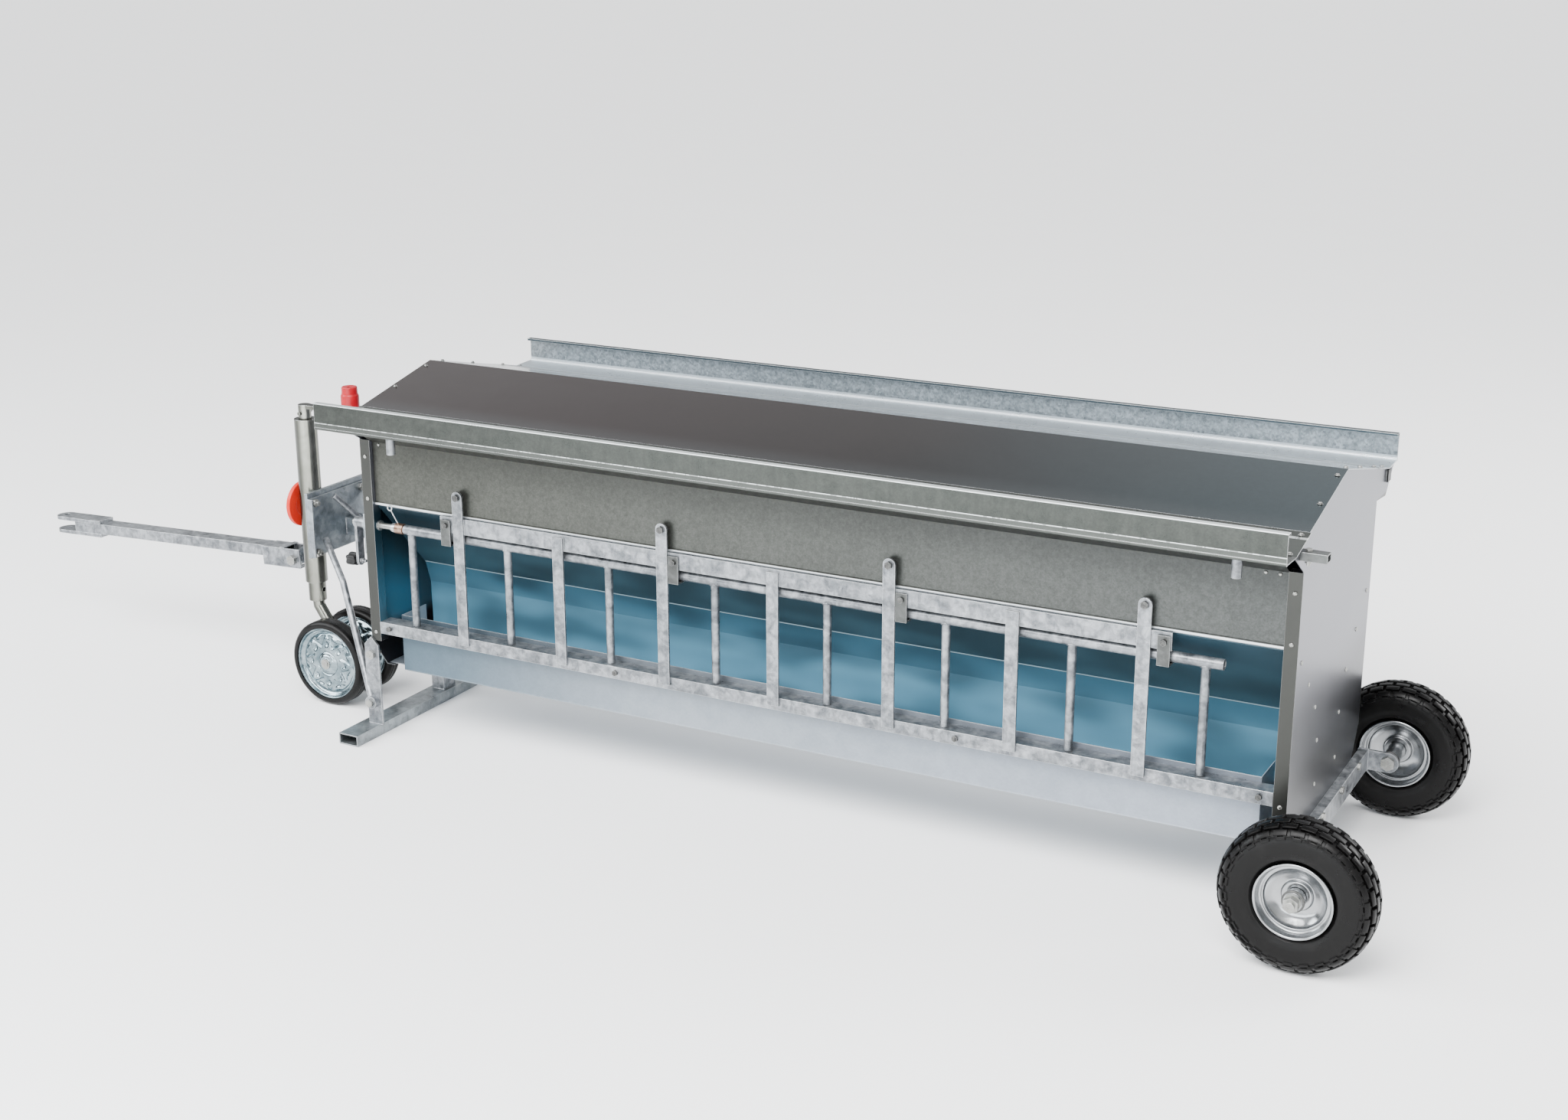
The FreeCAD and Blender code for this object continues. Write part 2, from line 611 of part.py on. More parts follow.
def skid_uprights():
    """Pointed plates on the faces of the posts, and a short tube under the left panel."""
    solids = []
    x0 = UPRIGHT_X - 22
    x1 = UPRIGHT_X + 22
    for sign in (-1, 1):
        y0 = sign * HALF_DEPTH
        outline = [(x0, y0, 30), (x1, y0, 30), (x1, y0, 249), (UPRIGHT_X, y0, 271), (x0, y0, 249)]
        solids.append(extrude(outline, Vector(0, sign * 6, 0)))
    leg = box(SKID_X - 20, SKID_X + 20, -25, 25, 30, PANEL_BOTTOM)
    solids.append(leg.cut(box(SKID_X - 17, SKID_X + 17, -22, 22, 30, PANEL_BOTTOM)))
    return solids


def stay_rods():
    """Bent stays from the tow plate to the skid uprights, and short braces on the plate."""
    solids = []
    for sign in (-1, 1):
        foot_y = sign * (HALF_DEPTH + 15)
        bend = (-1376, sign * 198, 362)
        upper = rod((-1492, sign * 122, 444), bend, 9)
        lower = rod(bend, (UPRIGHT_X, foot_y, SKID_STAY_Z), 9)
        eye = cylinder((UPRIGHT_X, foot_y - 9, SKID_STAY_Z), Y_AXIS, 17, 18)
        stay = fuse([upper, Part.makeSphere(9, Vector(*bend)), lower, eye])
        solids.append(stay.cut(cylinder((UPRIGHT_X, foot_y - 9, SKID_STAY_Z), Y_AXIS, 6, 18)))
        solids.append(rod((-1492, sign * 78, 556), (-1455, sign * 22, 484), 8))
    return solids


# ---- tow gear -------------------------------------------------------------------------------
def tow_plate():
    """Upright plate across the tow beam's end, with its side edges folded back."""
    inner = PLATE_X + PLATE_THICKNESS
    pieces = [box(PLATE_X, inner, -PLATE_HALF, PLATE_HALF, PLATE_BOTTOM, PLATE_TOP)]
    for sign in (-1, 1):
        y = sign * PLATE_HALF
        pieces.append(box(inner, inner + 12, y, y - sign * 5, PLATE_BOTTOM, PLATE_TOP))
    return fuse(pieces)


def tow_beam():
    """Square tube from the left panel to the tow plate, with a foot plate on the panel."""
    x0 = PLATE_X + PLATE_THICKNESS
    x1 = -HALF_LENGTH - 6
    outer = box(x0, x1, -25, 25, BEAM_Z - 25, BEAM_Z + 25)
    tube = outer.cut(box(x0, x1, -21, 21, BEAM_Z - 21, BEAM_Z + 21))
    return fuse([tube, box(x1, x1 + 6, -70, 70, BEAM_Z - 55, BEAM_Z + 55)])


def jack_bracket():
    """Plate that is welded along the jack's tube and bolted to the tow plate."""
    x0 = PLATE_X - BRACKET_THICKNESS
    plate = box(x0, PLATE_X, -170, 70, 400, 580)
    return plate.cut(cylinder((JACK_X, JACK_Y, 380), Z_AXIS, JACK_R, 220))


def tow_lug():
    """Web from the bracket down to the draw bar's hinge, with a boss for its pin."""
    x = PLATE_X - BRACKET_THICKNESS - HINGE_X
    corners = []
    for rise, side in ((PLATE_BOTTOM - HINGE_Z, -1), (PLATE_BOTTOM - HINGE_Z + 66, 1)):
        reach = math.hypot(x, rise)
        angle = math.atan2(rise, x) + side * math.acos(LUG_NOSE_R / reach)
        corners.append([(LUG_NOSE_R * math.cos(angle), LUG_NOSE_R * math.sin(angle)), (x, rise)])
    outline = [(0, 0), corners[0][0], corners[0][1], corners[1][1], corners[1][0]]
    web = extrude([(HINGE_X + dx, -8, HINGE_Z + dz) for dx, dz in outline], Vector(0, 16, 0))
    nose = cylinder((HINGE_X, -8, HINGE_Z), Y_AXIS, LUG_NOSE_R, 16)
    boss = cylinder((HINGE_X, -24.5, HINGE_Z), Y_AXIS, 16, 49)
    return fuse([web, nose, boss]).cut(cylinder((HINGE_X, -30, HINGE_Z), Y_AXIS, HINGE_R, 60))


def drawbar_turn(shape):
    """Turn a piece laid out level at the hinge down to the draw bar's resting angle."""
    turned = shape.copy()
    turned.rotate(Vector(HINGE_X, 0, HINGE_Z), Y_AXIS, -DRAWBAR_DROOP)
    return turned


def drawbar_tube():
    half = DRAWBAR_WIDTH / 2
    x0 = HINGE_X + DRAWBAR_END
    x1 = HINGE_X + DRAWBAR_START
    top = HINGE_Z + DRAWBAR_HEIGHT
    tube = box(x0, x1, -half, half, HINGE_Z, top)
    return drawbar_turn(tube.cut(box(x0, x1, 3 - half, half - 3, HINGE_Z + 3, top - 3)))


def drawbar_cheeks():
    """Side plates on the tube's end, a tie over them, and the stop under the lug."""
    solids = []
    half = DRAWBAR_WIDTH / 2
    top = HINGE_Z + DRAWBAR_HEIGHT
    for sign in (-1, 1):
        plate = box(HINGE_X - 109, HINGE_X + 25, sign * half, sign * (half + 6), HINGE_Z - 24, top)
        solids.append(plate.cut(cylinder((HINGE_X, -40, HINGE_Z), Y_AXIS, HINGE_R + RUNNING_FIT, 80)))
    solids.append(box(HINGE_X - 45, HINGE_X - 30, -half - 6, half + 6, top, top + 3))
    solids.append(box(HINGE_X + 15, HINGE_X + 24, -half, half, HINGE_Z - 24, HINGE_Z - 16.5))
    return [drawbar_turn(fuse(solids))]


def drawbar_fork():
    """Two plates above and below the tube, each with a round nose and a hitch pin's hole."""
    solids = []
    half = FORK_WIDTH / 2
    tip = HINGE_X + FORK_TIP
    for low in (HINGE_Z + DRAWBAR_HEIGHT, HINGE_Z - FORK_THICKNESS):
        plate = box(tip + half, HINGE_X + FORK_INNER, -half, half, low, low + FORK_THICKNESS)
        nose = cylinder((tip + half, 0, low), Z_AXIS, half, FORK_THICKNESS)
        hole = cylinder((HINGE_X + FORK_HOLE, 0, low), Z_AXIS, FORK_HOLE_R, FORK_THICKNESS)
        solids.append(drawbar_turn(fuse([plate, nose]).cut(hole)))
    return solids


def frame_bolts():
    """Bolts of the bracket, stays, skid, axle beam and draw bar, and the reflector's stem."""
    solids = []
    bracket_face = PLATE_X - BRACKET_THICKNESS
    grip = BRACKET_THICKNESS + PLATE_THICKNESS
    for y, z in ((-150, 552), (-150, 413), (41, 552), (41, 418)):
        solids.append(bolt((bracket_face, y, z), X_AXIS, 6, grip))
    for sign in (-1, 1):
        way = Vector(0, -sign, 0)
        solids.append(bolt((UPRIGHT_X, sign * (HALF_DEPTH + 24), SKID_STAY_Z), way, 6, 24))
        solids.append(bolt((UPRIGHT_X, sign * (HALF_DEPTH + 6), SKID_PIVOT_Z), way, 7, 10))
    for y in (-235, -80, 80, 235):
        start = (HALF_LENGTH + BEAM_DEPTH, y, PANEL_BOTTOM + 6)
        solids.append(bolt(start, Vector(-1, 0, 0), 5, BEAM_DEPTH + SHEET))
    half = DRAWBAR_WIDTH / 2 + 6 + CLEAR
    solids.append(bolt((HINGE_X, -half, HINGE_Z), Y_AXIS, HINGE_R, 2 * half))
    solids.append(rod((bracket_face, -72, 528), (REFLECTOR_X + 8, -72, 528), 8))
    y, z, height = EAVE_TUBES[0]
    solids.append(bolt((HALF_LENGTH + 15, y, z + height / 2), Vector(0, 0, -1), 4, height))
    return solids


def reflector():
    """Thick disc on the end of its stem."""
    disc = cylinder((REFLECTOR_X, -98, 528), X_AXIS, 62, 12)
    return disc.cut(cylinder((REFLECTOR_X + 8, -72, 528), X_AXIS, 8, 12))


# ---- jack -----------------------------------------------------------------------------------
def jack_outer_tube():
    """Outer tube with its end cap and the bush ring that guides the sliding tube."""
    length = JACK_TOP - JACK_BOTTOM
    bore = JACK_R - JACK_WALL
    tube = pipe((JACK_X, JACK_Y, JACK_BOTTOM), Z_AXIS, JACK_R, bore, length)
    cap = pipe((JACK_X, JACK_Y, JACK_TOP - 8), Z_AXIS, bore + 1, 10.4, 8)
    ring = pipe((JACK_X, JACK_Y, JACK_BOTTOM), Z_AXIS, bore + 1, JACK_INNER_R + RUNNING_FIT, 30)
    return fuse([tube, cap, ring])


def jack_inner_tube():
    """Sliding tube with its lock pin's hole, and the bent pipe down to the jockey wheels' boss."""
    tube = cylinder((JACK_X, JACK_Y, JACK_INNER_LOW), Z_AXIS, JACK_INNER_R, JACK_INNER_TOP - JACK_INNER_LOW)
    bore = cylinder((JACK_X, JACK_Y, JACK_INNER_LOW + 12), Z_AXIS, JACK_INNER_R - 2.5, JACK_INNER_TOP)
    pin_hole = cylinder((JACK_X - 40, JACK_Y, 296), X_AXIS, 6, 80)
    knee = (JACK_X + 3, JACK_Y, 248)
    foot = (JOCKEY_X, JACK_Y, JOCKEY_R + 4)
    neck = rod((JACK_X, JACK_Y, JACK_INNER_LOW + 6), knee, 16)
    boss = cylinder((JOCKEY_X, JACK_Y - 36, JOCKEY_R), Y_AXIS, 19, 72)
    solid = fuse([tube.cut(bore).cut(pin_hole), neck, Part.makeSphere(16, Vector(*knee)), rod(knee, foot, 16), boss])
    return solid.cut(cylinder((JOCKEY_X, JACK_Y - 50, JOCKEY_R), Y_AXIS, JOCKEY_AXLE_R, 100))


def jockey_axle():
    half = JOCKEY_OFFSET + JOCKEY_HALF_WIDTH + 5
    pieces = [cylinder((JOCKEY_X, JACK_Y - half, JOCKEY_R), Y_AXIS, JOCKEY_AXLE_R, 2 * half)]
    for sign in (-1, 1):
        face = JACK_Y + sign * (half - 4.6)
        pieces.append(cylinder((JOCKEY_X, face, JOCKEY_R), Vector(0, sign, 0), 14, 2.5))
    return fuse(pieces)


def jockey_tyre(y):
    """Solid rubber band round the jockey wheel's pressed disc."""
    half = JOCKEY_HALF_WIDTH
    low = JOCKEY_RIM_R
    points = [(low, half), (low + 9, half), (JOCKEY_R, half - 8), (JOCKEY_R, 8 - half), (low + 9, -half), (low, -half)]
    return ring_of(points, (JOCKEY_X, y, JOCKEY_R))


def jockey_rim(y):
    """Two pressed discs with rolled edges on one plain-bored hub."""
    half = JOCKEY_HALF_WIDTH
    low = JOCKEY_RIM_R
    side = [(low, half - 1), (low - 5, half - 1), (low - 10, half - 7), (70, half - 7), (56, half - 14), (24, half - 14), (20, half), (JOCKEY_AXLE_R + RUNNING_FIT, half)]
    points = side + [(r, -y_out) for r, y_out in side[::-1]]
    return ring_of(points, (JOCKEY_X, y, JOCKEY_R))


def jack_crank():
    """Jack's head, its spindle down inside the tubes, the arm and the grip's pin."""
    head = cylinder((JACK_X, JACK_Y, JACK_TOP + CLEAR), Z_AXIS, 17, 811 - JACK_TOP)
    spindle = cylinder((JACK_X, JACK_Y, JACK_TOP - 170), Z_AXIS, 10, 175)
    reach = JACK_X + JACK_CRANK_LENGTH
    arm = box(JACK_X, reach, JACK_Y - 12, JACK_Y + 12, JACK_CRANK_Z - 5, JACK_CRANK_Z + 5)
    eye = cylinder((reach, JACK_Y, JACK_CRANK_Z - 5), Z_AXIS, 13, 10)
    pin = cylinder((reach, JACK_Y, JACK_CRANK_Z), Z_AXIS, 6, 66)
    cross = cylinder((JACK_X, JACK_Y - 25, 790), Y_AXIS, 5, 50)
    return fuse([head, spindle, arm, eye, pin, cross])


def jack_grip():
    """Hand grip that spins on the crank's pin."""
    x = JACK_X + JACK_CRANK_LENGTH
    low = JACK_CRANK_Z + 5 + CLEAR
    body = cylinder((x, JACK_Y, low), Z_AXIS, 24, 64)
    body = body.makeFillet(6, [e for e in body.Edges if e.Closed])
    return body.cut(cylinder((x, JACK_Y, low - 1), Z_AXIS, 6 + RUNNING_FIT, 63))


# ---- output ---------------------------------------------------------------------------------
def as_list(made):
    return made if isinstance(made, list) else [made]


def all_nodes():
    single = (
        roof_sheet, trough, grille_bolts, slide_clips, screw_bushes, eave_tubes, tube_caps,
        drain_spouts, sheet_fixings, axle_beam, axle_bolts, skid_foot, skid_uprights, stay_rods,
        tow_plate, tow_beam, jack_bracket, tow_lug, drawbar_tube, drawbar_cheeks, drawbar_fork,
        frame_bolts, reflector, jack_outer_tube, jack_inner_tube, jockey_axle, jack_crank, jack_grip,
    )
    paired = (
        gutter, hopper_sheet, lower_rail, grille_frame, sliding_grille, slide_coupling,
        adjusting_screw, crank_arm, crank_knob,
    )
    nodes = {build.__name__: as_list(build()) for build in single}
    nodes["end_panel_left"] = [end_panel(-1)]
    nodes["end_panel_right"] = [end_panel(1)]
    for build in paired:
        rear = as_list(build())
        nodes[build.__name__ + "_rear"] = rear
        nodes[build.__name__ + "_front"] = [mirrored(solid) for solid in rear]
    for name, sign in (("front", -1), ("rear", 1)):
        centre = (WHEEL_X, sign * WHEEL_Y, WHEEL_R)
        jockey_y = JACK_Y + sign * JOCKEY_OFFSET
        nodes["wall_" + name] = [wall(sign)]
        nodes["tyre_" + name] = [tyre(centre)]
        nodes["rim_" + name] = [rim(centre)]
        nodes["hub_" + name] = [hub(centre, sign)]
        nodes["jockey_tyre_" + name] = [jockey_tyre(jockey_y)]
        nodes["jockey_rim_" + name] = [jockey_rim(jockey_y)]
    return nodes


BORED_BY = {
    "frame_bolts": (
        "axle_beam", "end_panel_left", "end_panel_right", "jack_bracket", "skid_uprights",
        "stay_rods", "tow_plate", "eave_tubes", "trough",
    ),
    "stay_rods": ("skid_uprights",),
    "sheet_fixings": ("end_panel_left", "end_panel_right", "gutter_front", "gutter_rear", "roof_sheet"),
    "drain_spouts": ("wall_front", "wall_rear"),
}


def bored(nodes):
    """Every bolt, rivet and pipe gets its own hole in the sheets and tubes it goes through."""
    for tool_name, hosts in BORED_BY.items():
        tools = nodes[tool_name]
        if tool_name == "drain_spouts":
            tools = [cylinder((x, y, 700), Z_AXIS, SPOUT_R, 200) for x in SPOUTS_X for y, low in SPOUTS]
        for host in hosts:
            nodes[host] = [solid.cut(tools).removeSplitter() for solid in nodes[host]]
    drains = [cylinder((x, y, 700), Z_AXIS, SPOUT_R - 2, 200) for x in SPOUTS_X for y, low in SPOUTS]
    for host in ("gutter_front", "gutter_rear"):
        nodes[host] = [solid.cut(drains) for solid in nodes[host]]
    return nodes


def write_nodes():
    os.makedirs("parts", exist_ok=True)
    for name, solids in bored(all_nodes()).items():
        shape = solids[0] if len(solids) == 1 else Part.makeCompound(solids)
        shape = shape.copy()
        shape.translate(Vector(FRAME_SHIFT, 0, 0))
        shape.exportStep("parts/" + name + ".step")


write_nodes()
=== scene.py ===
import json
import math
import random

import bpy
from mathutils import Matrix, Vector


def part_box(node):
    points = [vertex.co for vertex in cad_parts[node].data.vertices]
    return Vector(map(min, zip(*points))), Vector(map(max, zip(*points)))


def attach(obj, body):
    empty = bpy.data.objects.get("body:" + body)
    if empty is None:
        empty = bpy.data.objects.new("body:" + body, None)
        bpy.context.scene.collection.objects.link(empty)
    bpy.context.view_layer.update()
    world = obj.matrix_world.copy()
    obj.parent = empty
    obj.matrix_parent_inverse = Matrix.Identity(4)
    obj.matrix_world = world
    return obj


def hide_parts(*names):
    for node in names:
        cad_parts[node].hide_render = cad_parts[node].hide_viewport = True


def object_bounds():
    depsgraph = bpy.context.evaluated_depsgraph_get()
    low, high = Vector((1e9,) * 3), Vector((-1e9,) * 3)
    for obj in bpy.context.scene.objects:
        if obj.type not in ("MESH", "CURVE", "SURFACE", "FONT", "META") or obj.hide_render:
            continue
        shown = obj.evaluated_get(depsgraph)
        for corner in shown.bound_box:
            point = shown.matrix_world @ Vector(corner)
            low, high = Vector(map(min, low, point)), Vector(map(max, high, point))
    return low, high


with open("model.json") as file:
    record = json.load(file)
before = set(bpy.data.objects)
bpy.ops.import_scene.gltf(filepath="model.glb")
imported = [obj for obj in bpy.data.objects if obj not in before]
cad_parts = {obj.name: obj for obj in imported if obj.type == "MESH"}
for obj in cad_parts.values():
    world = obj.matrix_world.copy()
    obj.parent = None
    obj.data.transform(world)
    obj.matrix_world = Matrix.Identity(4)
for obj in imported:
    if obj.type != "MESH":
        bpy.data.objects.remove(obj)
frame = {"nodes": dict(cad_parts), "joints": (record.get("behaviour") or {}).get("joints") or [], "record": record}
cad_low, cad_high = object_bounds()

MM = 0.001
AXES = {"X": Vector((1, 0, 0)), "Y": Vector((0, 1, 0)), "Z": Vector((0, 0, 1))}
OPENINGS = {o["name"]: o["box_m"] for o in frame["record"]["physics"]["openings"]}
THROAT_CREASE = OPENINGS["throat"][1][2] + 5 * MM


# ---- what the frame says --------------------------------------------------------------------
def centre_of(node):
    low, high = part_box(node)
    return (low + high) / 2


def solids_of(node):
    """The box of every separate solid in a CAD node."""
    mesh = frame["nodes"][node].data
    keys = [tuple(round(c, 5) for c in v.co) for v in mesh.vertices]
    parent = {}

    def root(key):
        while parent.setdefault(key, key) != key:
            parent[key] = parent[parent[key]]
            key = parent[key]
        return key

    for polygon in mesh.polygons:
        first = root(keys[polygon.vertices[0]])
        for v in polygon.vertices:
            parent[root(keys[v])] = first
    groups = {}
    for key in set(keys):
        groups.setdefault(root(key), []).append(key)
    boxes = []
    for points in groups.values():
        low = Vector([min(p[i] for p in points) for i in range(3)])
        high = Vector([max(p[i] for p in points) for i in range(3)])
        boxes.append((low, high))
    return sorted(boxes, key=lambda b: tuple(b[0]))


# ---- shader helpers -------------------------------------------------------------------------
class Shader:
    """A material being built: its node tree, its Principled shader and object coordinates."""

    def __init__(self, name, metallic, roughness):
        self.material = bpy.data.materials.new(name)
        self.material.use_nodes = True
        self.tree = self.material.node_tree
        self.tree.nodes.clear()
        out = self.tree.nodes.new("ShaderNodeOutputMaterial")
        self.bsdf = self.tree.nodes.new("ShaderNodeBsdfPrincipled")
        self.tree.links.new(self.bsdf.outputs["BSDF"], out.inputs["Surface"])
        self.bsdf.inputs["Metallic"].default_value = metallic
        self.bsdf.inputs["Roughness"].default_value = roughness
        texture = self.tree.nodes.new("ShaderNodeTexCoord")
        self.coords = texture.outputs["Object"]
        self.object_normal = texture.outputs["Normal"]

    def link(self, source, target):
        self.tree.links.new(source, target)

    def put(self, value, target):
        """Links an output, or sets a constant, on an input socket."""
        if isinstance(value, bpy.types.NodeSocket):
            self.link(value, target)
        elif isinstance(value, (tuple, list)) and len(value) == 3 and target.type == "RGBA":
            target.default_value = (*value, 1.0)
        else:
            target.default_value = value

    def scaled(self, x, y, z):
        """Object coordinates stretched along the axes."""
        node = self.tree.nodes.new("ShaderNodeMapping")
        self.link(self.coords, node.inputs["Vector"])
        node.inputs["Scale"].default_value = (x, y, z)
        return node.outputs["Vector"]

    def noise(self, scale, detail=4.0, roughness=0.55, vector=None, distortion=0.0):
        node = self.tree.nodes.new("ShaderNodeTexNoise")
        self.link(vector or self.coords, node.inputs["Vector"])
        node.inputs["Scale"].default_value = scale
        node.inputs["Detail"].default_value = detail
        node.inputs["Roughness"].default_value = roughness
        node.inputs["Distortion"].default_value = distortion
        return node.outputs["Fac"]

    def cells(self, scale, vector=None):
        """A random grey for each crystal of a spangled coat."""
        node = self.tree.nodes.new("ShaderNodeTexVoronoi")
        self.link(vector or self.coords, node.inputs["Vector"])
        node.inputs["Scale"].default_value = scale
        grey = self.tree.nodes.new("ShaderNodeSeparateColor")
        self.link(node.outputs["Color"], grey.inputs["Color"])
        return grey.outputs["Red"]

    def axis(self, letter):
        node = self.tree.nodes.new("ShaderNodeSeparateXYZ")
        self.link(self.coords, node.inputs["Vector"])
        return node.outputs[letter]

    def math(self, operation, a, b=0.0):
        node = self.tree.nodes.new("ShaderNodeMath")
        node.operation = operation
        self.put(a, node.inputs[0])
        self.put(b, node.inputs[1])
        return node.outputs[0]

    def remap(self, value, low, high, to_low=0.0, to_high=1.0, smooth=True):
        node = self.tree.nodes.new("ShaderNodeMapRange")
        node.interpolation_type = "SMOOTHSTEP" if smooth else "LINEAR"
        self.put(value, node.inputs["Value"])
        for socket, number in zip(("From Min", "From Max", "To Min", "To Max"), (low, high, to_low, to_high)):
            node.inputs[socket].default_value = number
        return node.outputs["Result"]

    def mix(self, factor, a, b, blend="MIX"):
        node = self.tree.nodes.new("ShaderNodeMix")
        node.data_type = "RGBA"
        node.blend_type = blend
        self.put(factor, node.inputs[0])
        self.put(a, node.inputs[6])
        self.put(b, node.inputs[7])
        return node.outputs[2]

    def edges(self, radius):
        """1 close to a sharp edge: where the rounded normal leaves the true one."""
        soft = self.tree.nodes.new("ShaderNodeBevel")
        soft.samples = 4
        soft.inputs["Radius"].default_value = radius
        true = self.tree.nodes.new("ShaderNodeNewGeometry").outputs["Normal"]
        dot = self.tree.nodes.new("ShaderNodeVectorMath")
        dot.operation = "DOT_PRODUCT"
        self.link(soft.outputs["Normal"], dot.inputs[0])
        self.link(true, dot.inputs[1])
        return self.remap(dot.outputs["Value"], 0.97, 0.86)

    def facing(self, letter):
        """How far the surface faces along an axis, from -1 to 1."""
        node = self.tree.nodes.new("ShaderNodeSeparateXYZ")
        self.link(self.object_normal, node.inputs["Vector"])
        return node.outputs[letter]

    def grey(self, value):
        node = self.tree.nodes.new("ShaderNodeCombineColor")
        for socket in ("Red", "Green", "Blue"):
            self.link(value, node.inputs[socket])
        return node.outputs["Color"]

    def colour(self, value):
        self.put(value, self.bsdf.inputs["Base Color"])

    def roughness(self, value):
        self.put(value, self.bsdf.inputs["Roughness"])

    def bump(self, heights, edge=0.0):
        """Stacks (height, depth in metres) pairs, over edges rounded by a radius."""
        normal = None
        if edge:
            node = self.tree.nodes.new("ShaderNodeBevel")
            node.samples = 4
            node.inputs["Radius"].default_value = edge
            normal = node.outputs["Normal"]
        for height, depth in heights:
            node = self.tree.nodes.new("ShaderNodeBump")
            node.inputs["Strength"].default_value = 1.0
            node.inputs["Distance"].default_value = depth
            self.link(height, node.inputs["Height"])
            if normal:
                self.link(normal, node.inputs["Normal"])
            normal = node.outputs["Normal"]
        self.link(normal, self.bsdf.inputs["Normal"])


def zinc(name, dark, light, metallic=0.85, rough=(0.3, 0.5), grain=26.0, spangle=0.0,
         spangle_scale=110.0, bump=0.00012, streak=0.0, edge=0.0016, edge_highlight=0.45, specks=0.25, tone_and_painted_light=None):
    """Zinc coat: cloudy patches, crystals, fine specks, runs, and a painted highlight along its sharp edges."""
    s = Shader(name, metallic, rough[0])
    cloud = s.noise(grain, 6.0, 0.62, distortion=0.4)
    broad = s.noise(3.2, 3.0)
    factor = s.remap(s.math("ADD", s.math("MULTIPLY", cloud, 0.7), s.math("MULTIPLY", broad, 0.3)), 0.36,
                     0.64)
    base = s.mix(factor, dark, light)
    if spangle:
        crystal = s.remap(s.cells(spangle_scale), 0.0, 1.0, 1.0 - spangle, 1.0 + spangle * 0.6, smooth=False)
        base = s.mix(1.0, base, s.grey(crystal), "MULTIPLY")
    if streak:
        runs = s.noise(1.0, 5.0, 0.6, s.scaled(70.0, 70.0, 3.0))
        base = s.mix(1.0, base, s.grey(s.remap(runs, 0.3, 0.7, 1.0 - streak, 1.0 + streak * 0.5)), "MULTIPLY")
    bright = tuple(min(0.95, c * 1.8) for c in light)
    if specks:
        speck = s.remap(s.noise(380.0, 2.0), 0.68, 0.76)
        base = s.mix(s.math("MULTIPLY", speck, specks), base, bright)
    # Optional hook that multiplies in painted light and shade, and tone, over the zinc colour.
    if tone_and_painted_light:
        base = tone_and_painted_light(s, base)
    # Painted highlight: sharp edges mixed towards a bright pale grey.
    if edge_highlight:
        base = s.mix(s.math("MULTIPLY", s.edges(edge * 1.4), edge_highlight), base, (0.80, 0.82, 0.82))
    s.colour(base)
    s.roughness(s.remap(s.math("ADD", cloud, s.math("MULTIPLY", broad, 0.4)), 0.45, 0.95, *rough))
    fine = [(cloud, bump), (s.noise(600.0, 2.0), bump * 0.2)] if specks else []
    s.bump([(s.noise(6.0, 0.0), bump * 6)] + fine, edge)
    return s.material


# ---- finishes -------------------------------------------------------------------------------
LEFT_X, RIGHT_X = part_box("roof_sheet")[0].x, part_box("roof_sheet")[1].x


def along(s, low=LEFT_X, high=RIGHT_X):
    """0 at the body's left end and 1 at its right end."""
    return s.remap(s.axis("X"), low, high, smooth=False)


def roof_finish():
    def tone_and_painted_light(s, base):
        # Painted reflection on the front slope: dark brown at the left, bluish grey at the right, with brown
        # patches and paler near its lower edge.
        left, middle, right = (0.026, 0.016, 0.015), (0.024, 0.021, 0.021), (0.036, 0.050, 0.056)
        front = s.mix(s.remap(s.axis("X"), LEFT_X + 0.5, 0.9), left, middle)
        front = s.mix(s.remap(s.axis("X"), 0.7, RIGHT_X - 0.1), front, right)
        patch = s.remap(s.noise(1.3, 1.0), 0.35, 0.7)
        front = s.mix(s.math("MULTIPLY", patch, 0.30), front, (0.042, 0.030, 0.027))
        low = s.remap(s.axis("Z"), 0.878, 0.893, 0.30, 0.0)
        front = s.mix(low, front, (0.10, 0.11, 0.115))
        # Painted light: the rear slope is painted much lighter than the front slope.
        lit_rear_slope = s.mix(along(s), (0.20, 0.22, 0.23), (0.36, 0.40, 0.42))
        side = s.remap(s.axis("Y"), -0.002, 0.002)
        return s.mix(1.0, base, s.mix(side, front, lit_rear_slope), "MULTIPLY")
    return zinc("roof_zinc", (0.93, 0.93, 0.93), (1.0, 1.0, 1.0), 0.9, (0.15, 0.22), 8.0, 0.05, 260.0,
                0.00002, 0.05, edge_highlight=0.25, specks=0.0, tone_and_painted_light=tone_and_painted_light)


def wall_finish():
    def tone_and_painted_light(s, base):
        base = s.mix(1.0, base, s.mix(along(s), (0.92, 0.92, 0.84), (1.0, 1.04, 1.08)), "MULTIPLY")
        # Painted shadow under the gutter: the wall darker towards its top.
        gutter_shadow = s.remap(s.axis("Z"), 0.70, 0.80, 1.0, 0.62)
        base = s.mix(1.0, base, s.grey(gutter_shadow), "MULTIPLY")
        # Painted highlight along the wall's bottom edge: bright pale grey below z 0.6325.
        return s.mix(s.remap(s.axis("Z"), 0.6335, 0.6325), base, (0.75, 0.78, 0.80))
    return zinc("wall_zinc", (0.053, 0.055, 0.051), (0.076, 0.078, 0.073), 0.7, (0.32, 0.44), 90.0, 0.16,
                330.0,
                0.00003, 0.04, edge_highlight=0.0, specks=0.3, tone_and_painted_light=tone_and_painted_light)


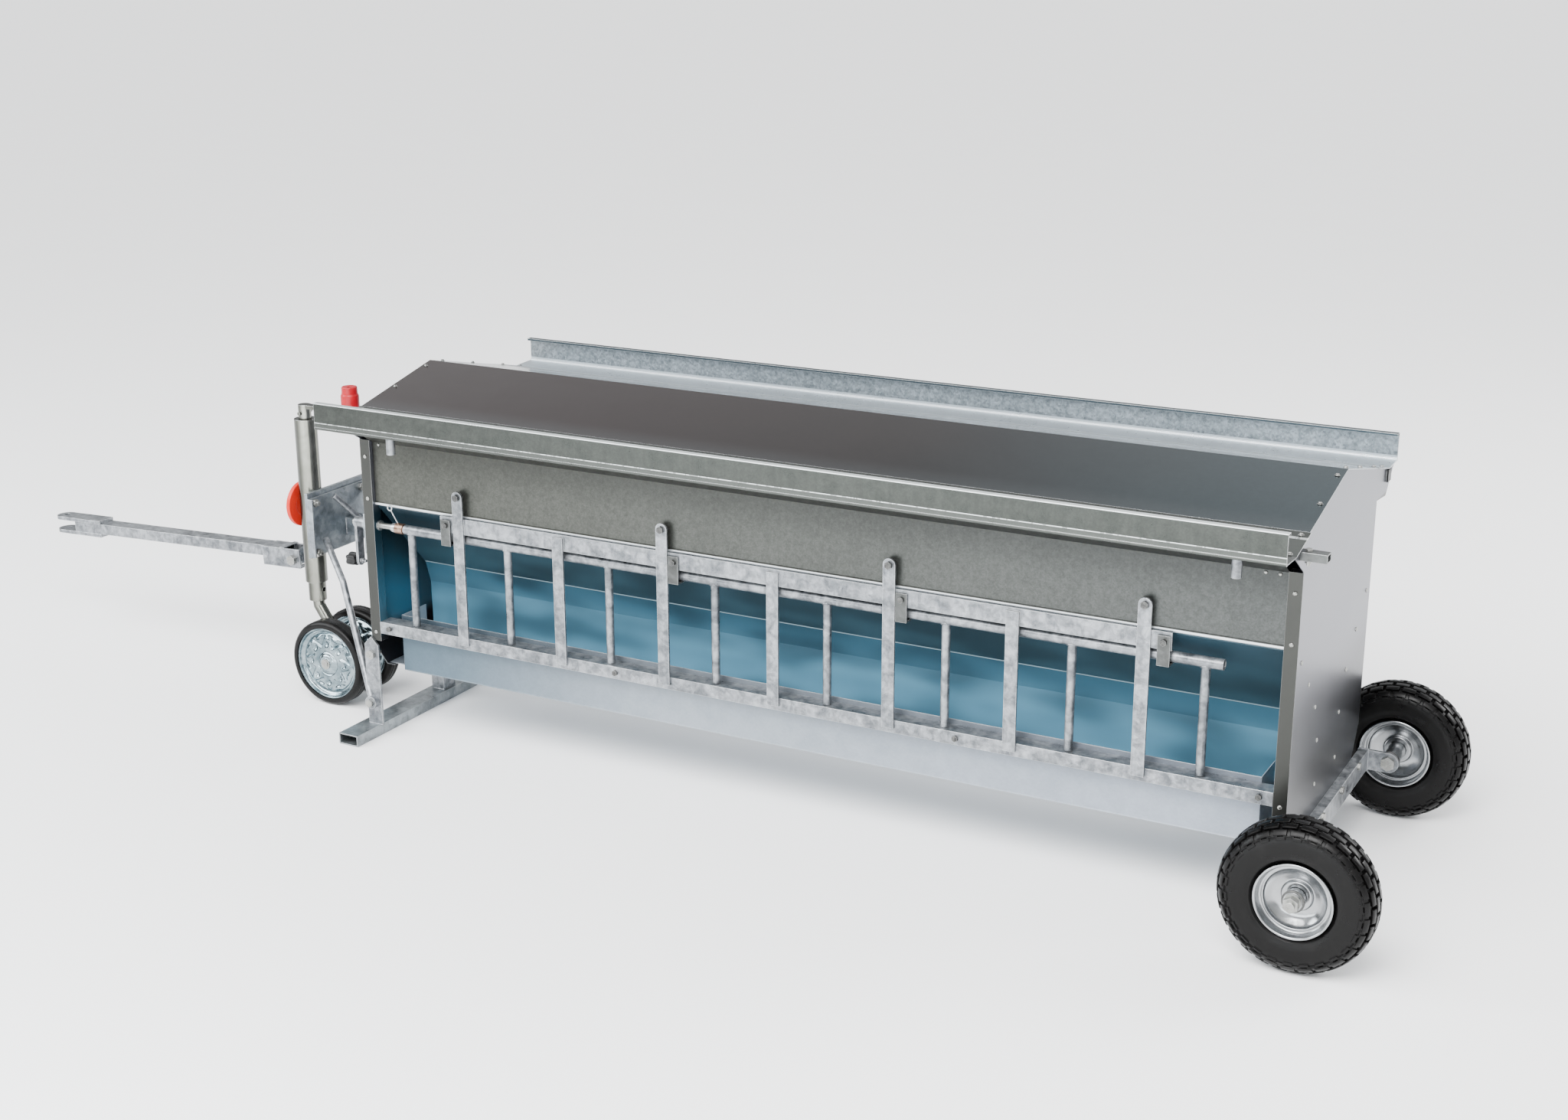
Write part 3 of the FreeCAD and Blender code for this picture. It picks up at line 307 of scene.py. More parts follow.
def throat_painted_light(s):
    """The hopper's painted blue sheen: painted dark teal shade on its slope, a painted highlight along the crease,
    and painted reflection brightening down the throat.
    """
    height = s.axis("Z")
    # Painted shade: dark teal on the slope above the crease.
    upper = s.mix(s.remap(height, THROAT_CREASE, THROAT_CREASE + 0.18), (0.034, 0.082, 0.108),
                  (0.016, 0.042, 0.060))
    # Painted reflection: light blue brightening down the throat.
    lower = s.mix(s.remap(height, THROAT_CREASE - 0.14, THROAT_CREASE), (0.145, 0.37, 0.52),
                  (0.045, 0.130, 0.190))
    # Painted highlight: a bright line along the crease.
    line = s.remap(s.math("ABSOLUTE", s.math("SUBTRACT", height, THROAT_CREASE + 0.0015)), 0.0025, 0.0012)
    both = s.mix(s.remap(height, THROAT_CREASE - 0.003, THROAT_CREASE + 0.001), lower, upper)
    wide = s.remap(s.noise(1.0, 1.0, vector=s.scaled(3.4, 0.3, 9.0)), 0.35, 0.65, 0.50, 1.15)
    return s.mix(line, s.mix(1.0, both, s.grey(wide), "MULTIPLY"), (0.42, 0.56, 0.62))


def hopper_finish():
    # The hopper sheet's colour is painted light: near-white zinc multiplied by the painted shade, highlight and
    # reflection.
    def tone_and_painted_light(s, base):
        return s.mix(1.0, base, throat_painted_light(s), "MULTIPLY")
    return zinc("hopper_zinc", (0.95, 0.95, 0.95), (1.0, 1.0, 1.0), 0.35, (0.40, 0.45), 4.0, 0.0, 240.0,
                0.00002, 0.0, edge=0.0, edge_highlight=0.0, specks=0.0, tone_and_painted_light=tone_and_painted_light)


def trough_finish():
    def tone_and_painted_light(s, base):
        cool = s.mix(s.remap(s.axis("X"), LEFT_X + 0.1, LEFT_X + 0.9), (0.30, 0.42, 0.50), (0.92, 0.97, 1.02))
        cool = s.mix(s.remap(s.axis("X"), 0.2, RIGHT_X), cool, (1.05, 1.10, 1.20))
        # Painted shadow under the rail: the outer face darker towards its top.
        rail_shadow = s.remap(s.axis("Z"), 0.235, 0.30, 1.0, 0.55)
        outside = s.mix(1.0, cool, s.grey(rail_shadow), "MULTIPLY")
        inside = s.remap(s.math("ABSOLUTE", s.axis("Y")), 0.2612, 0.2608)
        return s.mix(1.0, base, s.mix(inside, outside, (1.6, 1.65, 1.7)), "MULTIPLY")
    return zinc("trough_zinc", (0.25, 0.27, 0.29), (0.29, 0.31, 0.33), 0.6, (0.34, 0.46), 22.0, 0.04, 200.0,
                0.00003, 0.0, edge_highlight=0.3, specks=0.0, tone_and_painted_light=tone_and_painted_light)


def panel_finish(side):
    """End panel: lavender grey sheet with a painted dark reflection over its lower part and a paler band in it,
    darker folded posts, and a painted blue sheen and shade on its inner face.
    """
    def tone_and_painted_light(s, base):
        height = s.axis("Z")
        # Painted reflection: the sheet dark over its lower part.
        low = s.remap(height, 0.36, 0.56)
        sheet = s.mix(low, (0.17, 0.17, 0.19), (0.98, 0.98, 1.08))
        pale_band = s.math("MULTIPLY", s.remap(height, 0.30, 0.38), s.remap(height, 0.50, 0.42))
        sheet = s.mix(s.math("MULTIPLY", pale_band, 0.45), sheet, (0.80, 0.80, 0.85))
        post = s.math("MULTIPLY", s.remap(s.math("ABSOLUTE", s.axis("Y")), 0.3025, 0.3035),
                      s.remap(height, 0.797, 0.799, 1.0, 0.0))
        painted = s.mix(1.0, base, s.mix(post, sheet, (0.30, 0.30, 0.26)), "MULTIPLY")
        # Painted sheen and shade on the inner face: blue low down, near black higher up.
        inward = s.remap(s.math("MULTIPLY", s.facing("X"), -side), 0.3, 0.5)
        inside = s.math("MULTIPLY", inward,
                        s.math("MULTIPLY", s.remap(height, 0.64, 0.60), s.remap(height, 0.27, 0.31)))
        sheen = s.mix(s.remap(height, 0.30, 0.60), (0.10, 0.235, 0.32), (0.016, 0.040, 0.055))
        return s.mix(inside, painted, sheen)
    return zinc("panel_zinc", (0.125, 0.128, 0.136), (0.145, 0.148, 0.157), 0.8, (0.30, 0.34), 4.0, 0.0,
                200.0,
                0.00002, 0.0, edge=0.001, edge_highlight=0.4, specks=0.0, tone_and_painted_light=tone_and_painted_light)


def front_gutter_tone_and_highlights(s, base):
    """Front gutter: a painted highlight along its top edge, and a painted dashed highlight along the hem line with
    a paler strip under it.
    """
    height = s.axis("Z")
    strip = s.remap(height, 0.8725, 0.8715)
    base = s.mix(s.math("MULTIPLY", strip, 0.35), base, (0.11, 0.118, 0.11))
    # Painted highlight: a dashed bright line along the hem.
    hem_highlight = s.remap(s.math("ABSOLUTE", s.math("SUBTRACT", height, 0.872)), 0.0014, 0.0005)
    dashes = s.remap(s.noise(1.0, 2.0, vector=s.scaled(95.0, 1.0, 1.0)), 0.42, 0.5)
    base = s.mix(s.math("MULTIPLY", hem_highlight, s.remap(dashes, 0.0, 1.0, 0.35, 0.9)), base, (0.62, 0.65, 0.64))
    # Painted highlight along the top edge.
    top = s.remap(height, 0.9185, 0.9200)
    return s.mix(top, base, (0.72, 0.76, 0.76))


def rear_gutter_painted_light(s, base):
    """Rear gutter: a painted pale lit strip on its floor, and a painted dark shadow line under its lip."""
    height = s.axis("Z")
    # Painted light: a pale strip low down, on the gutter's floor.
    base = s.mix(s.remap(height, 0.868, 0.866), base, (0.42, 0.46, 0.49))
    # Painted shadow: a dark line under the lip.
    return s.mix(s.remap(height, 0.9135, 0.9145), base, (0.035, 0.05, 0.06))


def round_sheen(s):
    """Upright tube: a bright band facing the light, dark flanks."""
    turn = s.math("ADD", s.math("MULTIPLY", s.facing("X"), 0.80), s.math("MULTIPLY", s.facing("Y"), -0.60))
    band = s.remap(turn, 0.45, 0.95, 0.55, 2.1)
    return s.grey(s.math("MULTIPLY", band, s.remap(turn, -0.6, 0.3, 0.7, 1.0)))


def plastic(name, colour, light, rough, grain=500.0, bump=0.00006):
    s = Shader(name, 0.0, rough)
    s.colour(s.mix(s.remap(s.noise(35.0, 4.0), 0.35, 0.7), colour, light))
    s.roughness(s.remap(s.noise(60.0, 4.0), 0.3, 0.7, rough * 0.85, rough * 1.2))
    s.bump([(s.noise(grain, 2.0), bump), (s.noise(45.0, 2.0), bump)], 0.001)
    s.bsdf.inputs["Specular IOR Level"].default_value = 0.3
    return s.material


def rubber(name):
    s = Shader(name, 0.0, 0.55)
    s.bsdf.inputs["Specular IOR Level"].default_value = 0.16
    dust = s.remap(s.noise(18.0, 6.0, 0.7), 0.5, 0.78)
    base = s.mix(s.math("MULTIPLY", dust, 0.4), (0.0022, 0.0020, 0.0020), (0.009, 0.0082, 0.0078))
    s.colour(base)
    s.roughness(s.remap(s.noise(25.0, 5.0), 0.3, 0.75, 0.26, 0.44))
    s.bump([(s.noise(900.0, 3.0), 0.00012), (s.noise(70.0, 3.0), 0.0002)], 0.0012)
    return s.material


def coupling_finish():
    """Zinc ferrule, copper brown sleeve and steel wire pin, told apart by where they lie."""
    low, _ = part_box("slide_coupling_front")
    s = Shader("coupling_metal", 0.9, 0.35)
    mottle = s.remap(s.noise(90.0, 5.0), 0.3, 0.7)
    copper = s.mix(mottle, (0.20, 0.12, 0.085), (0.42, 0.29, 0.22))
    steel = s.mix(mottle, (0.45, 0.46, 0.46), (0.62, 0.63, 0.63))
    ferrule = s.remap(s.axis("X"), low.x + 12.8 * MM, low.x + 13.2 * MM, 1.0, 0.0)
    wire = s.remap(s.axis("Z"), 0.5855, 0.5860)
    s.colour(s.mix(s.math("MAXIMUM", ferrule, wire), copper, steel))
    s.roughness(s.remap(mottle, 0.0, 1.0, 0.28, 0.45))
    s.bump([(s.noise(300.0, 3.0), 0.00006)], 0.0006)
    return s.material


ZINC = {
    "hot_dip": zinc("hot_dip_zinc", (0.125, 0.135, 0.147), (0.34, 0.355, 0.375), 0.75, (0.26, 0.46), 40.0,
                    0.20, 85.0, 0.00012, 0.16, edge_highlight=0.6),
    "plate": zinc("plate_zinc", (0.15, 0.17, 0.19), (0.30, 0.335, 0.36), 0.75, (0.28, 0.46), 20.0, 0.22,
                  60.0, 0.00012),
    "skid": zinc("skid_zinc", (0.15, 0.165, 0.175), (0.30, 0.33, 0.345), 0.8, (0.26, 0.42), 24.0, 0.18, 60.0,
                 0.00012, 0.12),
    "clip": zinc("clip_zinc", (0.06, 0.062, 0.06), (0.105, 0.11, 0.108), 0.8, (0.26, 0.42), 24.0, 0.14, 80.0,
                 0.0001),
    "rim_front": zinc("gutter_zinc", (0.036, 0.040, 0.036), (0.048, 0.052, 0.047), 0.8, (0.26, 0.36), 40.0,
                      0.10, 280.0,
                      0.00002, 0.08, edge_highlight=0.6, specks=0.15, tone_and_painted_light=front_gutter_tone_and_highlights),
    "rim_rear": zinc("rear_gutter_zinc", (0.13, 0.15, 0.162), (0.23, 0.26, 0.28), 0.75, (0.26, 0.42), 80.0,
                     0.30, 190.0,
                     0.00005, 0.06, edge_highlight=0.6, specks=0.35, tone_and_painted_light=rear_gutter_painted_light),
    "bolt": zinc("bolt_zinc", (0.24, 0.24, 0.225), (0.36, 0.36, 0.34), 0.9, (0.22, 0.40), 60.0, bump=0.00005,
                 edge=0.0007),
    "dark_bolt": zinc("weathered_bolt_zinc", (0.045, 0.045, 0.045), (0.13, 0.13, 0.125), 0.8, (0.3, 0.5),
                      150.0, bump=0.00005,
                      edge=0.0007, edge_highlight=0.3),
    "jack": zinc("jack_zinc", (0.10, 0.102, 0.086), (0.155, 0.157, 0.138), 0.95, (0.14, 0.26), 16.0,
                 bump=0.00004, streak=0.12,
                 tone_and_painted_light=lambda s, base: s.mix(1.0, base, round_sheen(s), "MULTIPLY")),
    "disc": zinc("pressed_zinc", (0.11, 0.155, 0.175), (0.33, 0.40, 0.43), 1.0, (0.10, 0.20), 26.0,
                 bump=0.00004, edge_highlight=0.0),
    "wheel": zinc("wheel_zinc", (0.31, 0.318, 0.325), (0.38, 0.39, 0.40), 1.0, (0.16, 0.26), 26.0,
                  bump=0.00004, edge_highlight=0.0, specks=0.0),
    "roof": roof_finish(),
    "wall": wall_finish(),
    "hopper": hopper_finish(),
    "trough": trough_finish(),
    "panel_left": panel_finish(-1),
    "panel_right": panel_finish(1),
    "coupling": coupling_finish(),
}
RED_GRIP = plastic("red_grip_plastic", (0.30, 0.002, 0.008), (0.38, 0.004, 0.012), 0.34)
RED_DISC = plastic("red_disc_plastic", (0.52, 0.016, 0.006), (0.58, 0.024, 0.008), 0.40)
BLACK = plastic("black_plastic_grain", (0.005, 0.005, 0.0055), (0.010, 0.010, 0.0105), 0.38)
TYRE = rubber("tyre_rubber_grain")
FINISH_OF = {
    "roof": ["roof_sheet"],
    "wall": ["wall_front", "wall_rear"],
    "hopper": ["hopper_sheet_front", "hopper_sheet_rear"],
    "trough": ["trough"],
    "panel_left": ["end_panel_left"],
    "panel_right": ["end_panel_right"],
    "clip": ["slide_clips", "eave_tubes"],
    "rim_front": ["gutter_front"],
    "rim_rear": ["gutter_rear"],
    "plate": ["tow_plate", "jack_bracket", "tow_beam", "tow_lug", "screw_bushes"],
    "skid": ["skid_foot"],
    "dark_bolt": ["grille_bolts"],
    "bolt": ["frame_bolts", "axle_bolts", "jockey_axle", "adjusting_screw_front", "adjusting_screw_rear"],
    "jack": ["jack_outer_tube", "jack_inner_tube", "jack_crank"],
    "wheel": ["hub_front", "hub_rear"],
    "coupling": ["slide_coupling_front", "slide_coupling_rear"],
}


def dress(node, material):
    obj = frame["nodes"][node]
    obj.data.materials.clear()
    obj.data.materials.append(material)


def dress_cad_nodes():
    for node in frame["nodes"]:
        dress(node, ZINC["hot_dip"])
    for finish, nodes in FINISH_OF.items():
        for node in nodes:
            dress(node, ZINC[finish])
    dress("tube_caps", BLACK)


# ---- mesh helpers ---------------------------------------------------------------------------
def piece(name, verts, faces, material, body, nodes=(), sharp=35.0):
    """A new mesh piece in the row frame, riding on a CAD body."""
    mesh = bpy.data.meshes.new(name)
    mesh.from_pydata([tuple(v) for v in verts], [], faces)
    mesh.validate()
    for polygon in mesh.polygons:
        polygon.use_smooth = True
    mesh.set_sharp_from_angle(angle=math.radians(sharp))
    mesh.materials.append(material)
    obj = bpy.data.objects.new(name, mesh)
    bpy.context.scene.collection.objects.link(obj)
    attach(obj, body)
    if nodes:
        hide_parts(*nodes)
    return obj


def frame_of(axis):
    """Two directions across an axis."""
    axis = axis.normalized()
    side = axis.cross(Vector((0, 0, 1)))
    if side.length < 1e-3:
        side = Vector((1, 0, 0))
    side.normalize()
    return side, axis.cross(side).normalized()


def lathe(profile, centre, axis, segments=96):
    """Turns a (radius, height along the axis) outline round the axis."""
    side, up = frame_of(axis)
    axis = axis.normalized()
    count = len(profile)
    verts = []
    for i in range(segments):
        angle = math.tau * i / segments
        out = side * math.cos(angle) + up * math.sin(angle)
        verts += [centre + out * r + axis * h for r, h in profile]
    faces = []
    for i in range(segments):
        a, b = i * count, (i + 1) % segments * count
        for j in range(count):
            k = (j + 1) % count
            faces.append((a + j, b + j, b + k, a + k))
    return verts, faces


def joined(parts):
    """Several (verts, faces) as one."""
    verts, faces = [], []
    for v, f in parts:
        base = len(verts)
        verts += list(v)
        faces += [tuple(base + i for i in face) for face in f]
    return verts, faces


def rounded(points, radius, steps=4):
    """Rounds the corners of a closed outline of (x, y) points."""
    made = []
    count = len(points)
    for i, point in enumerate(points):
        p = Vector(point)
        a = Vector(points[i - 1]) - p
        b = Vector(points[(i + 1) % count]) - p
        reach = min(radius, a.length * 0.45, b.length * 0.45)
        start, end = p + a.normalized() * reach, p + b.normalized() * reach
        for k in range(steps + 1):
            t = k / steps
            made.append(tuple(start.lerp(p, t).lerp(p.lerp(end, t), t)))
    return made


# ---- running wheels -------------------------------------------------------------------------
TREAD_DEPTH = 8.0 * MM
SHOULDER_STEP = 2.0 * MM


class TyreForm:
    """Carcass of a tyre: a rounded square section, from bead to bead."""

    def __init__(self, node, rim_radius):
        low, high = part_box(node)
        self.centre = (low + high) / 2
        self.radius = (high.z - low.z) / 2 - TREAD_DEPTH
        self.half_width = (high.y - low.y) / 2 - SHOULDER_STEP
        self.middle = (self.radius + rim_radius - 4 * MM) / 2 - 2 * MM
        self.rise = self.radius - self.middle

    def section(self, turn):
        """(radius, width) at an angle from the crown, about the section's middle."""
        power = 2 / 2.7
        c, s = math.cos(turn), math.sin(turn)
        r = self.middle + self.rise * math.copysign(abs(c) ** power, c)
        w = self.half_width * math.copysign(abs(s) ** power, s)
        return r, w

    def at(self, angle, turn, lift=0.0):
        """A point on the carcass, or over it, at an angle round the axle."""
        r, w = self.section(turn)
        near_r, near_w = self.section(turn + 0.01)
        far_r, far_w = self.section(turn - 0.01)
        out = Vector((near_w - far_w, -(near_r - far_r))).normalized()
        r += out.x * lift
        w += out.y * lift
        return self.centre + Vector((r * math.cos(angle), w, r * math.sin(angle)))


def tread_block(form, angle, half_angle, turn_low, turn_high, depth):
    """One tread lug: its foot is sunk in the carcass and its top is drawn in a little."""
    across, around = 4, 3
    rings = []
    for level, (lift, draw) in enumerate(((-0.25, 1.0), (0.80, 0.97), (0.97, 0.93), (1.0, 0.84))):
        ring = []
        middle = (turn_low + turn_high) / 2
        half_turn = (turn_high - turn_low) / 2 * draw
        border = [(-1, -1 + 2 * k / across) for k in range(across)]
        border += [(-1 + 2 * k / around, 1) for k in range(around)]
        border += [(1, 1 - 2 * k / across) for k in range(across)]
        border += [(1 - 2 * k / around, -1) for k in range(around)]
        for a, t in border:
            turn = middle + t * half_turn
            ring.append(form.at(angle + a * half_angle * draw, turn, depth * lift))
        rings.append(ring)
    top = form.at(angle, (turn_low + turn_high) / 2, depth)
    count = len(rings[0])
    verts = [v for ring in rings for v in ring] + [top]
    faces = []
    for level in range(len(rings) - 1):
        a, b = level * count, (level + 1) * count
        for i in range(count):
            j = (i + 1) % count
            faces.append((a + i, a + j, b + j, b + i))
    last = (len(rings) - 1) * count
    faces += [(last + i, last + (i + 1) % count, len(verts) - 1) for i in range(count)]
    return verts, faces


def tread(form):
    """Staggered rows of blocks over the crown, and stepped blocks down both shoulders."""
    parts = []
    around = 26
    step = math.tau / around
    rows = (
        (0.0, 0.41, 0.03, 0.27, TREAD_DEPTH),
        (0.5, 0.41, 0.34, 0.62, TREAD_DEPTH),
        (0.0, 0.42, 0.70, 1.02, TREAD_DEPTH * 0.80),
        (0.5, 0.34, 0.74, 1.08, TREAD_DEPTH * 0.45),
        (0.0, 0.30, 1.06, 1.24, TREAD_DEPTH * 0.34),
    )
    for i in range(around):
        angle = i * step
        for sign in (-1, 1):
            for offset, half, low, high, depth in rows:
                ends = sorted((sign * low, sign * high))
                shift = offset if sign > 0 else 0.5 - offset
                parts.append(tread_block(form, angle + shift * step, step * half, *ends, depth))
    return joined(parts)


def carcass(form):
    """The smooth body of the tyre, with thin ribs on its side walls, closed over the rim."""
    reach = math.radians(148)
    steps = 72
    profile = []
    for i in range(steps + 1):
        turn = -reach + 2 * reach * i / steps
        r, w = form.section(turn)
        for rib in (math.radians(97), math.radians(124)):
            swell = math.exp(-((abs(turn) - rib) / 0.030) ** 2) * 1.1 * MM
            w += math.copysign(swell, w)
        profile.append((r, w))
    inner = [(profile[-1][0] + 3 * MM, profile[-1][1] - 6 * MM),
             (profile[0][0] + 3 * MM, profile[0][1] + 6 * MM)]
    return lathe(profile + inner, form.centre, AXES["Y"], 128)


def running_wheel(side):
    """Block-tread tyre and pressed rim that stand for the CAD tyre and rim."""
    body = "wheel_" + side
    low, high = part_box("rim_" + side)
    radius = (high.z - low.z) / 2
    form = TyreForm("tyre_" + side, radius)
    verts, faces = joined([carcass(form), tread(form)])
    piece("block_tread_tyre_" + side, verts, faces, TYRE, body, ["tyre_" + side], 38.0)
    half = (high.y - low.y) / 2
    outline = [
        (radius - 0.5 * MM, half - 5 * MM), (radius - 1.5 * MM, half - 1 * MM), (radius - 4 * MM, half),
        (radius - 6.5 * MM, half - 2 * MM),
        (radius - 8 * MM, half - 9 * MM), (radius - 10 * MM, half - 16 * MM),
        (radius - 13 * MM, half - 18.5 * MM), (radius - 17 * MM, half - 18 * MM),
        (radius - 19 * MM, half - 20 * MM), (radius - 21 * MM, half - 26 * MM),
        (radius - 34 * MM, half - 36 * MM), (radius - 47 * MM, half - 40 * MM),
        (radius - 51 * MM, half - 39 * MM), (radius - 52.5 * MM, half - 33 * MM),
        (radius - 55 * MM, half - 31.5 * MM), (radius - 63 * MM, half - 31.5 * MM),
    ]
    smooth = smooth_line(outline, 5)
    back = [(r, -w) for r, w in reversed(smooth)]
    well = [(radius - 3 * MM, -half + 2.0 * MM), (radius - 4 * MM, -10 * MM), (radius - 4 * MM, 10 * MM),
            (radius - 3 * MM, half - 2.0 * MM)]
    verts, faces = lathe(smooth + back + well, form.centre, AXES["Y"], 128)
    piece("pressed_rim_" + side, verts, faces, ZINC["wheel"], body, ["rim_" + side], 50.0)
    seal_rings(side, form.centre, body)


def smooth_line(points, steps):
    """A smooth open line through points, by Catmull-Rom."""
    made = []
    for i in range(len(points) - 1):
        p0 = Vector(points[max(i - 1, 0)])
        p1, p2 = Vector(points[i]), Vector(points[i + 1])
        p3 = Vector(points[min(i + 2, len(points) - 1)])
        for k in range(steps):
            t = k / steps
            a = (2 * p1 + (p2 - p0) * t + (2 * p0 - 5 * p1 + 4 * p2 - p3) * t * t + (3 * p1 - p0 - 3 * p2 + p3) * t ** 3) / 2
            made.append(tuple(a))
    made.append(tuple(points[-1]))
    return made


def seal_rings(side, centre, body):
    """The bearing's seal and shield at both ends of the hub."""
    low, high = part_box("hub_" + side)
    radius = (high.z - low.z) / 2
    parts = []
    for sign, end in ((-1, low.y), (1, high.y)):
        profile = rounded([(radius - 1 * MM, -7 * MM), (radius + 4 * MM, -7 * MM),
                           (radius + 4 * MM, -1 * MM), (radius - 1 * MM, -1 * MM)], 1.5 * MM)
        parts.append(lathe(profile, Vector((centre.x, end, centre.z)), AXES["Y"] * sign, 64))
    verts, faces = joined(parts)
    piece("hub_collars_" + side, verts, faces, ZINC["dark_bolt"], body)


# ---- jockey wheels --------------------------------------------------------------------------
STAR_POINTS = 8


def pressed_disc(centre, radius, bore, half, face):
    """One pressed disc: a rolled edge, a flat ring and a raised star round its hub."""
    spokes, rings = 192, 60
    side, up = frame_of(AXES["Y"])
    verts, faces = [], []
    for i in range(spokes):
        angle = math.tau * i / spokes
        out = side * math.cos(angle) + up * math.sin(angle)
        wave = 0.5 + 0.5 * math.cos(STAR_POINTS * angle)
        for j in range(rings + 1):
            t = j / rings
            r = bore + (radius - bore) * t
            edge = math.exp(-((t - 0.955) / 0.026) ** 2) * 8.0 * MM
            ring = math.exp(-((t - 0.83) / 0.040) ** 2) * -4.0 * MM
            lobe = 0.42 + 0.30 * wave
            star = 1 / (1 + math.exp((t - lobe) / 0.020)) * 7.0 * MM
            pocket = math.exp(-((t - 0.50) / 0.075) ** 2) * wave ** 3 * -6.5 * MM
            dimple = math.exp(-((t - 0.70) / 0.05) ** 2) * (1 - wave) ** 3 * 5.0 * MM
            collar = math.exp(-((t - 0.24) / 0.03) ** 2) * -3.5 * MM
            boss = 1 / (1 + math.exp((t - 0.14) / 0.012)) * 4.0 * MM
            height = half - 12 * MM + edge + ring + star + pocket + dimple + collar + boss
            verts.append(centre + out * r + AXES["Y"] * face * min(height, half))
    for i in range(spokes):
        a, b = i * (rings + 1), (i + 1) % spokes * (rings + 1)
        faces += [(a + j, b + j, b + j + 1, a + j + 1) for j in range(rings)]
    return verts, faces


def jockey_wheel(side):
    body = "jockey_wheel_" + side
    low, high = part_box("jockey_rim_" + side)
    centre = (low + high) / 2
    half, radius = (high.y - low.y) / 2, (high.z - low.z) / 2
    bore = (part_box("jockey_axle")[1].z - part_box("jockey_axle")[0].z) / 2 * 8 / 14 + 0.3 * MM
    barrel = lathe([(radius - 2 * MM, -half + 3 * MM), (radius - 2 * MM, half - 3 * MM),
                    (radius - 4 * MM, half - 3 * MM), (radius - 4 * MM, -half + 3 * MM)], centre, AXES["Y"],
                    96)
    hub = lathe([(bore, -half), (bore + 7 * MM, -half), (bore + 7 * MM, half), (bore, half)], centre,
                AXES["Y"], 48)
    discs = [pressed_disc(centre, radius - 0.5 * MM, bore + 2 * MM, half, face) for face in (-1, 1)]
    verts, faces = joined([barrel, hub] + discs)
    piece("star_disc_wheel_" + side, verts, faces, ZINC["disc"], body, ["jockey_rim_" + side],
          60.0)
    t_low, t_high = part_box("jockey_tyre_" + side)
    outer = (t_high.z - t_low.z) / 2
    profile = [(radius - 1 * MM, -half), (outer - 9 * MM, -half), (outer - 3 * MM, -half + 4 * MM),
               (outer, -half + 10 * MM)]
    profile = smooth_line(profile, 4)
    groove = [(outer, -9 * MM), (outer - 2.2 * MM, -8 * MM), (outer - 2.2 * MM, -6.5 * MM),
              (outer, -5.5 * MM)]
    whole = profile + groove + [(r, -w) for r, w in reversed(profile + groove)]
    verts, faces = lathe(whole, centre, AXES["Y"], 128)
    piece("solid_tyre_" + side, verts, faces, TYRE, body, ["jockey_tyre_" + side], 30.0)


# ---- plastic pieces -------------------------------------------------------------------------
def jack_grip():
    low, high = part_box("jack_grip")
    centre = Vector(((low.x + high.x) / 2, (low.y + high.y) / 2, low.z))
    radius, tall = (high.x - low.x) / 2, high.z - low.z
    bore = 6.3 * MM
    profile = [
        (bore, 0.0), (radius * 0.90, 0.0), (radius, tall * 0.08), (radius, tall * 0.62),
        (radius * 0.88, tall * 0.70),
        (radius * 0.86, tall * 0.96), (radius * 0.78, tall), (radius * 0.70, tall * 0.98),
        (bore, tall * 0.97),
    ]
    verts, faces = lathe(rounded(profile, 2.5 * MM), centre, AXES["Z"], 96)
    piece("moulded_grip", verts, faces, RED_GRIP, "jack_hand_grip", ["jack_grip"], 60.0)


def reflector_disc():
    low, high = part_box("reflector")
    centre = Vector((low.x, (low.y + high.y) / 2, (low.z + high.z) / 2))
    radius, thick = (high.z - low.z) / 2, high.x - low.x
    outline = [
        (0.5 * MM, 0.0), (radius * 0.86, 0.0), (radius * 0.88, 1.2 * MM), (radius * 0.92, 1.2 * MM),
        (radius * 0.94, 0.0),
        (radius, 0.0), (radius, thick), (radius * 0.55, thick), (radius * 0.53, thick - 1.2 * MM),
        (0.5 * MM, thick - 1.2 * MM),
    ]
    verts, faces = lathe(rounded(outline, 2.0 * MM), centre, AXES["X"], 128)
    piece("moulded_disc", verts, faces, RED_DISC, "base", ["reflector"], 50.0)


def star_knob(side):
    """Five-lobed knob: one smooth outline, drawn in at both faces."""
    node = "crank_knob_" + side
    low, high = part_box(node)
    joint = next(j for j in frame["joints"] if j["name"] == "knob_spin_" + side)
    y, z = joint["pos_m"][1], joint["pos_m"][2]
    radius = high.y - y if side == "rear" else y - low.y
    thick = 28 * MM
    around = 80
    verts, faces = [], []
    levels = ((0.0, 0.25), (0.0, 0.82), (0.08, 0.93), (0.22, 1.0), (0.78, 1.0), (0.92, 0.93), (1.0, 0.82),
              (1.0, 0.25))
    for share, size in levels:
        for i in range(around):
            angle = math.tau * i / around
            lobe = 0.86 + 0.14 * math.cos(5 * angle)
            r = radius * size * (lobe if size > 0.3 else 0.9)
            verts.append(Vector((low.x + thick * share, y + r * math.cos(angle), z + r * math.sin(angle))))
    for level in range(len(levels)):
        a, b = level * around, (level + 1) % len(levels) * around
        faces += [(a + i, a + (i + 1) % around, b + (i + 1) % around, b + i) for i in range(around)]
    neck = lathe([(4.2 * MM, thick), (8 * MM, thick), (8 * MM, high.x - low.x), (4.2 * MM, high.x - low.x)],
                 Vector((low.x, y, z)), AXES["X"], 32)
    verts, faces = joined([(verts, faces), neck])
    piece("star_knob_" + side, verts, faces, BLACK, "knob_" + side, [node], 50.0)


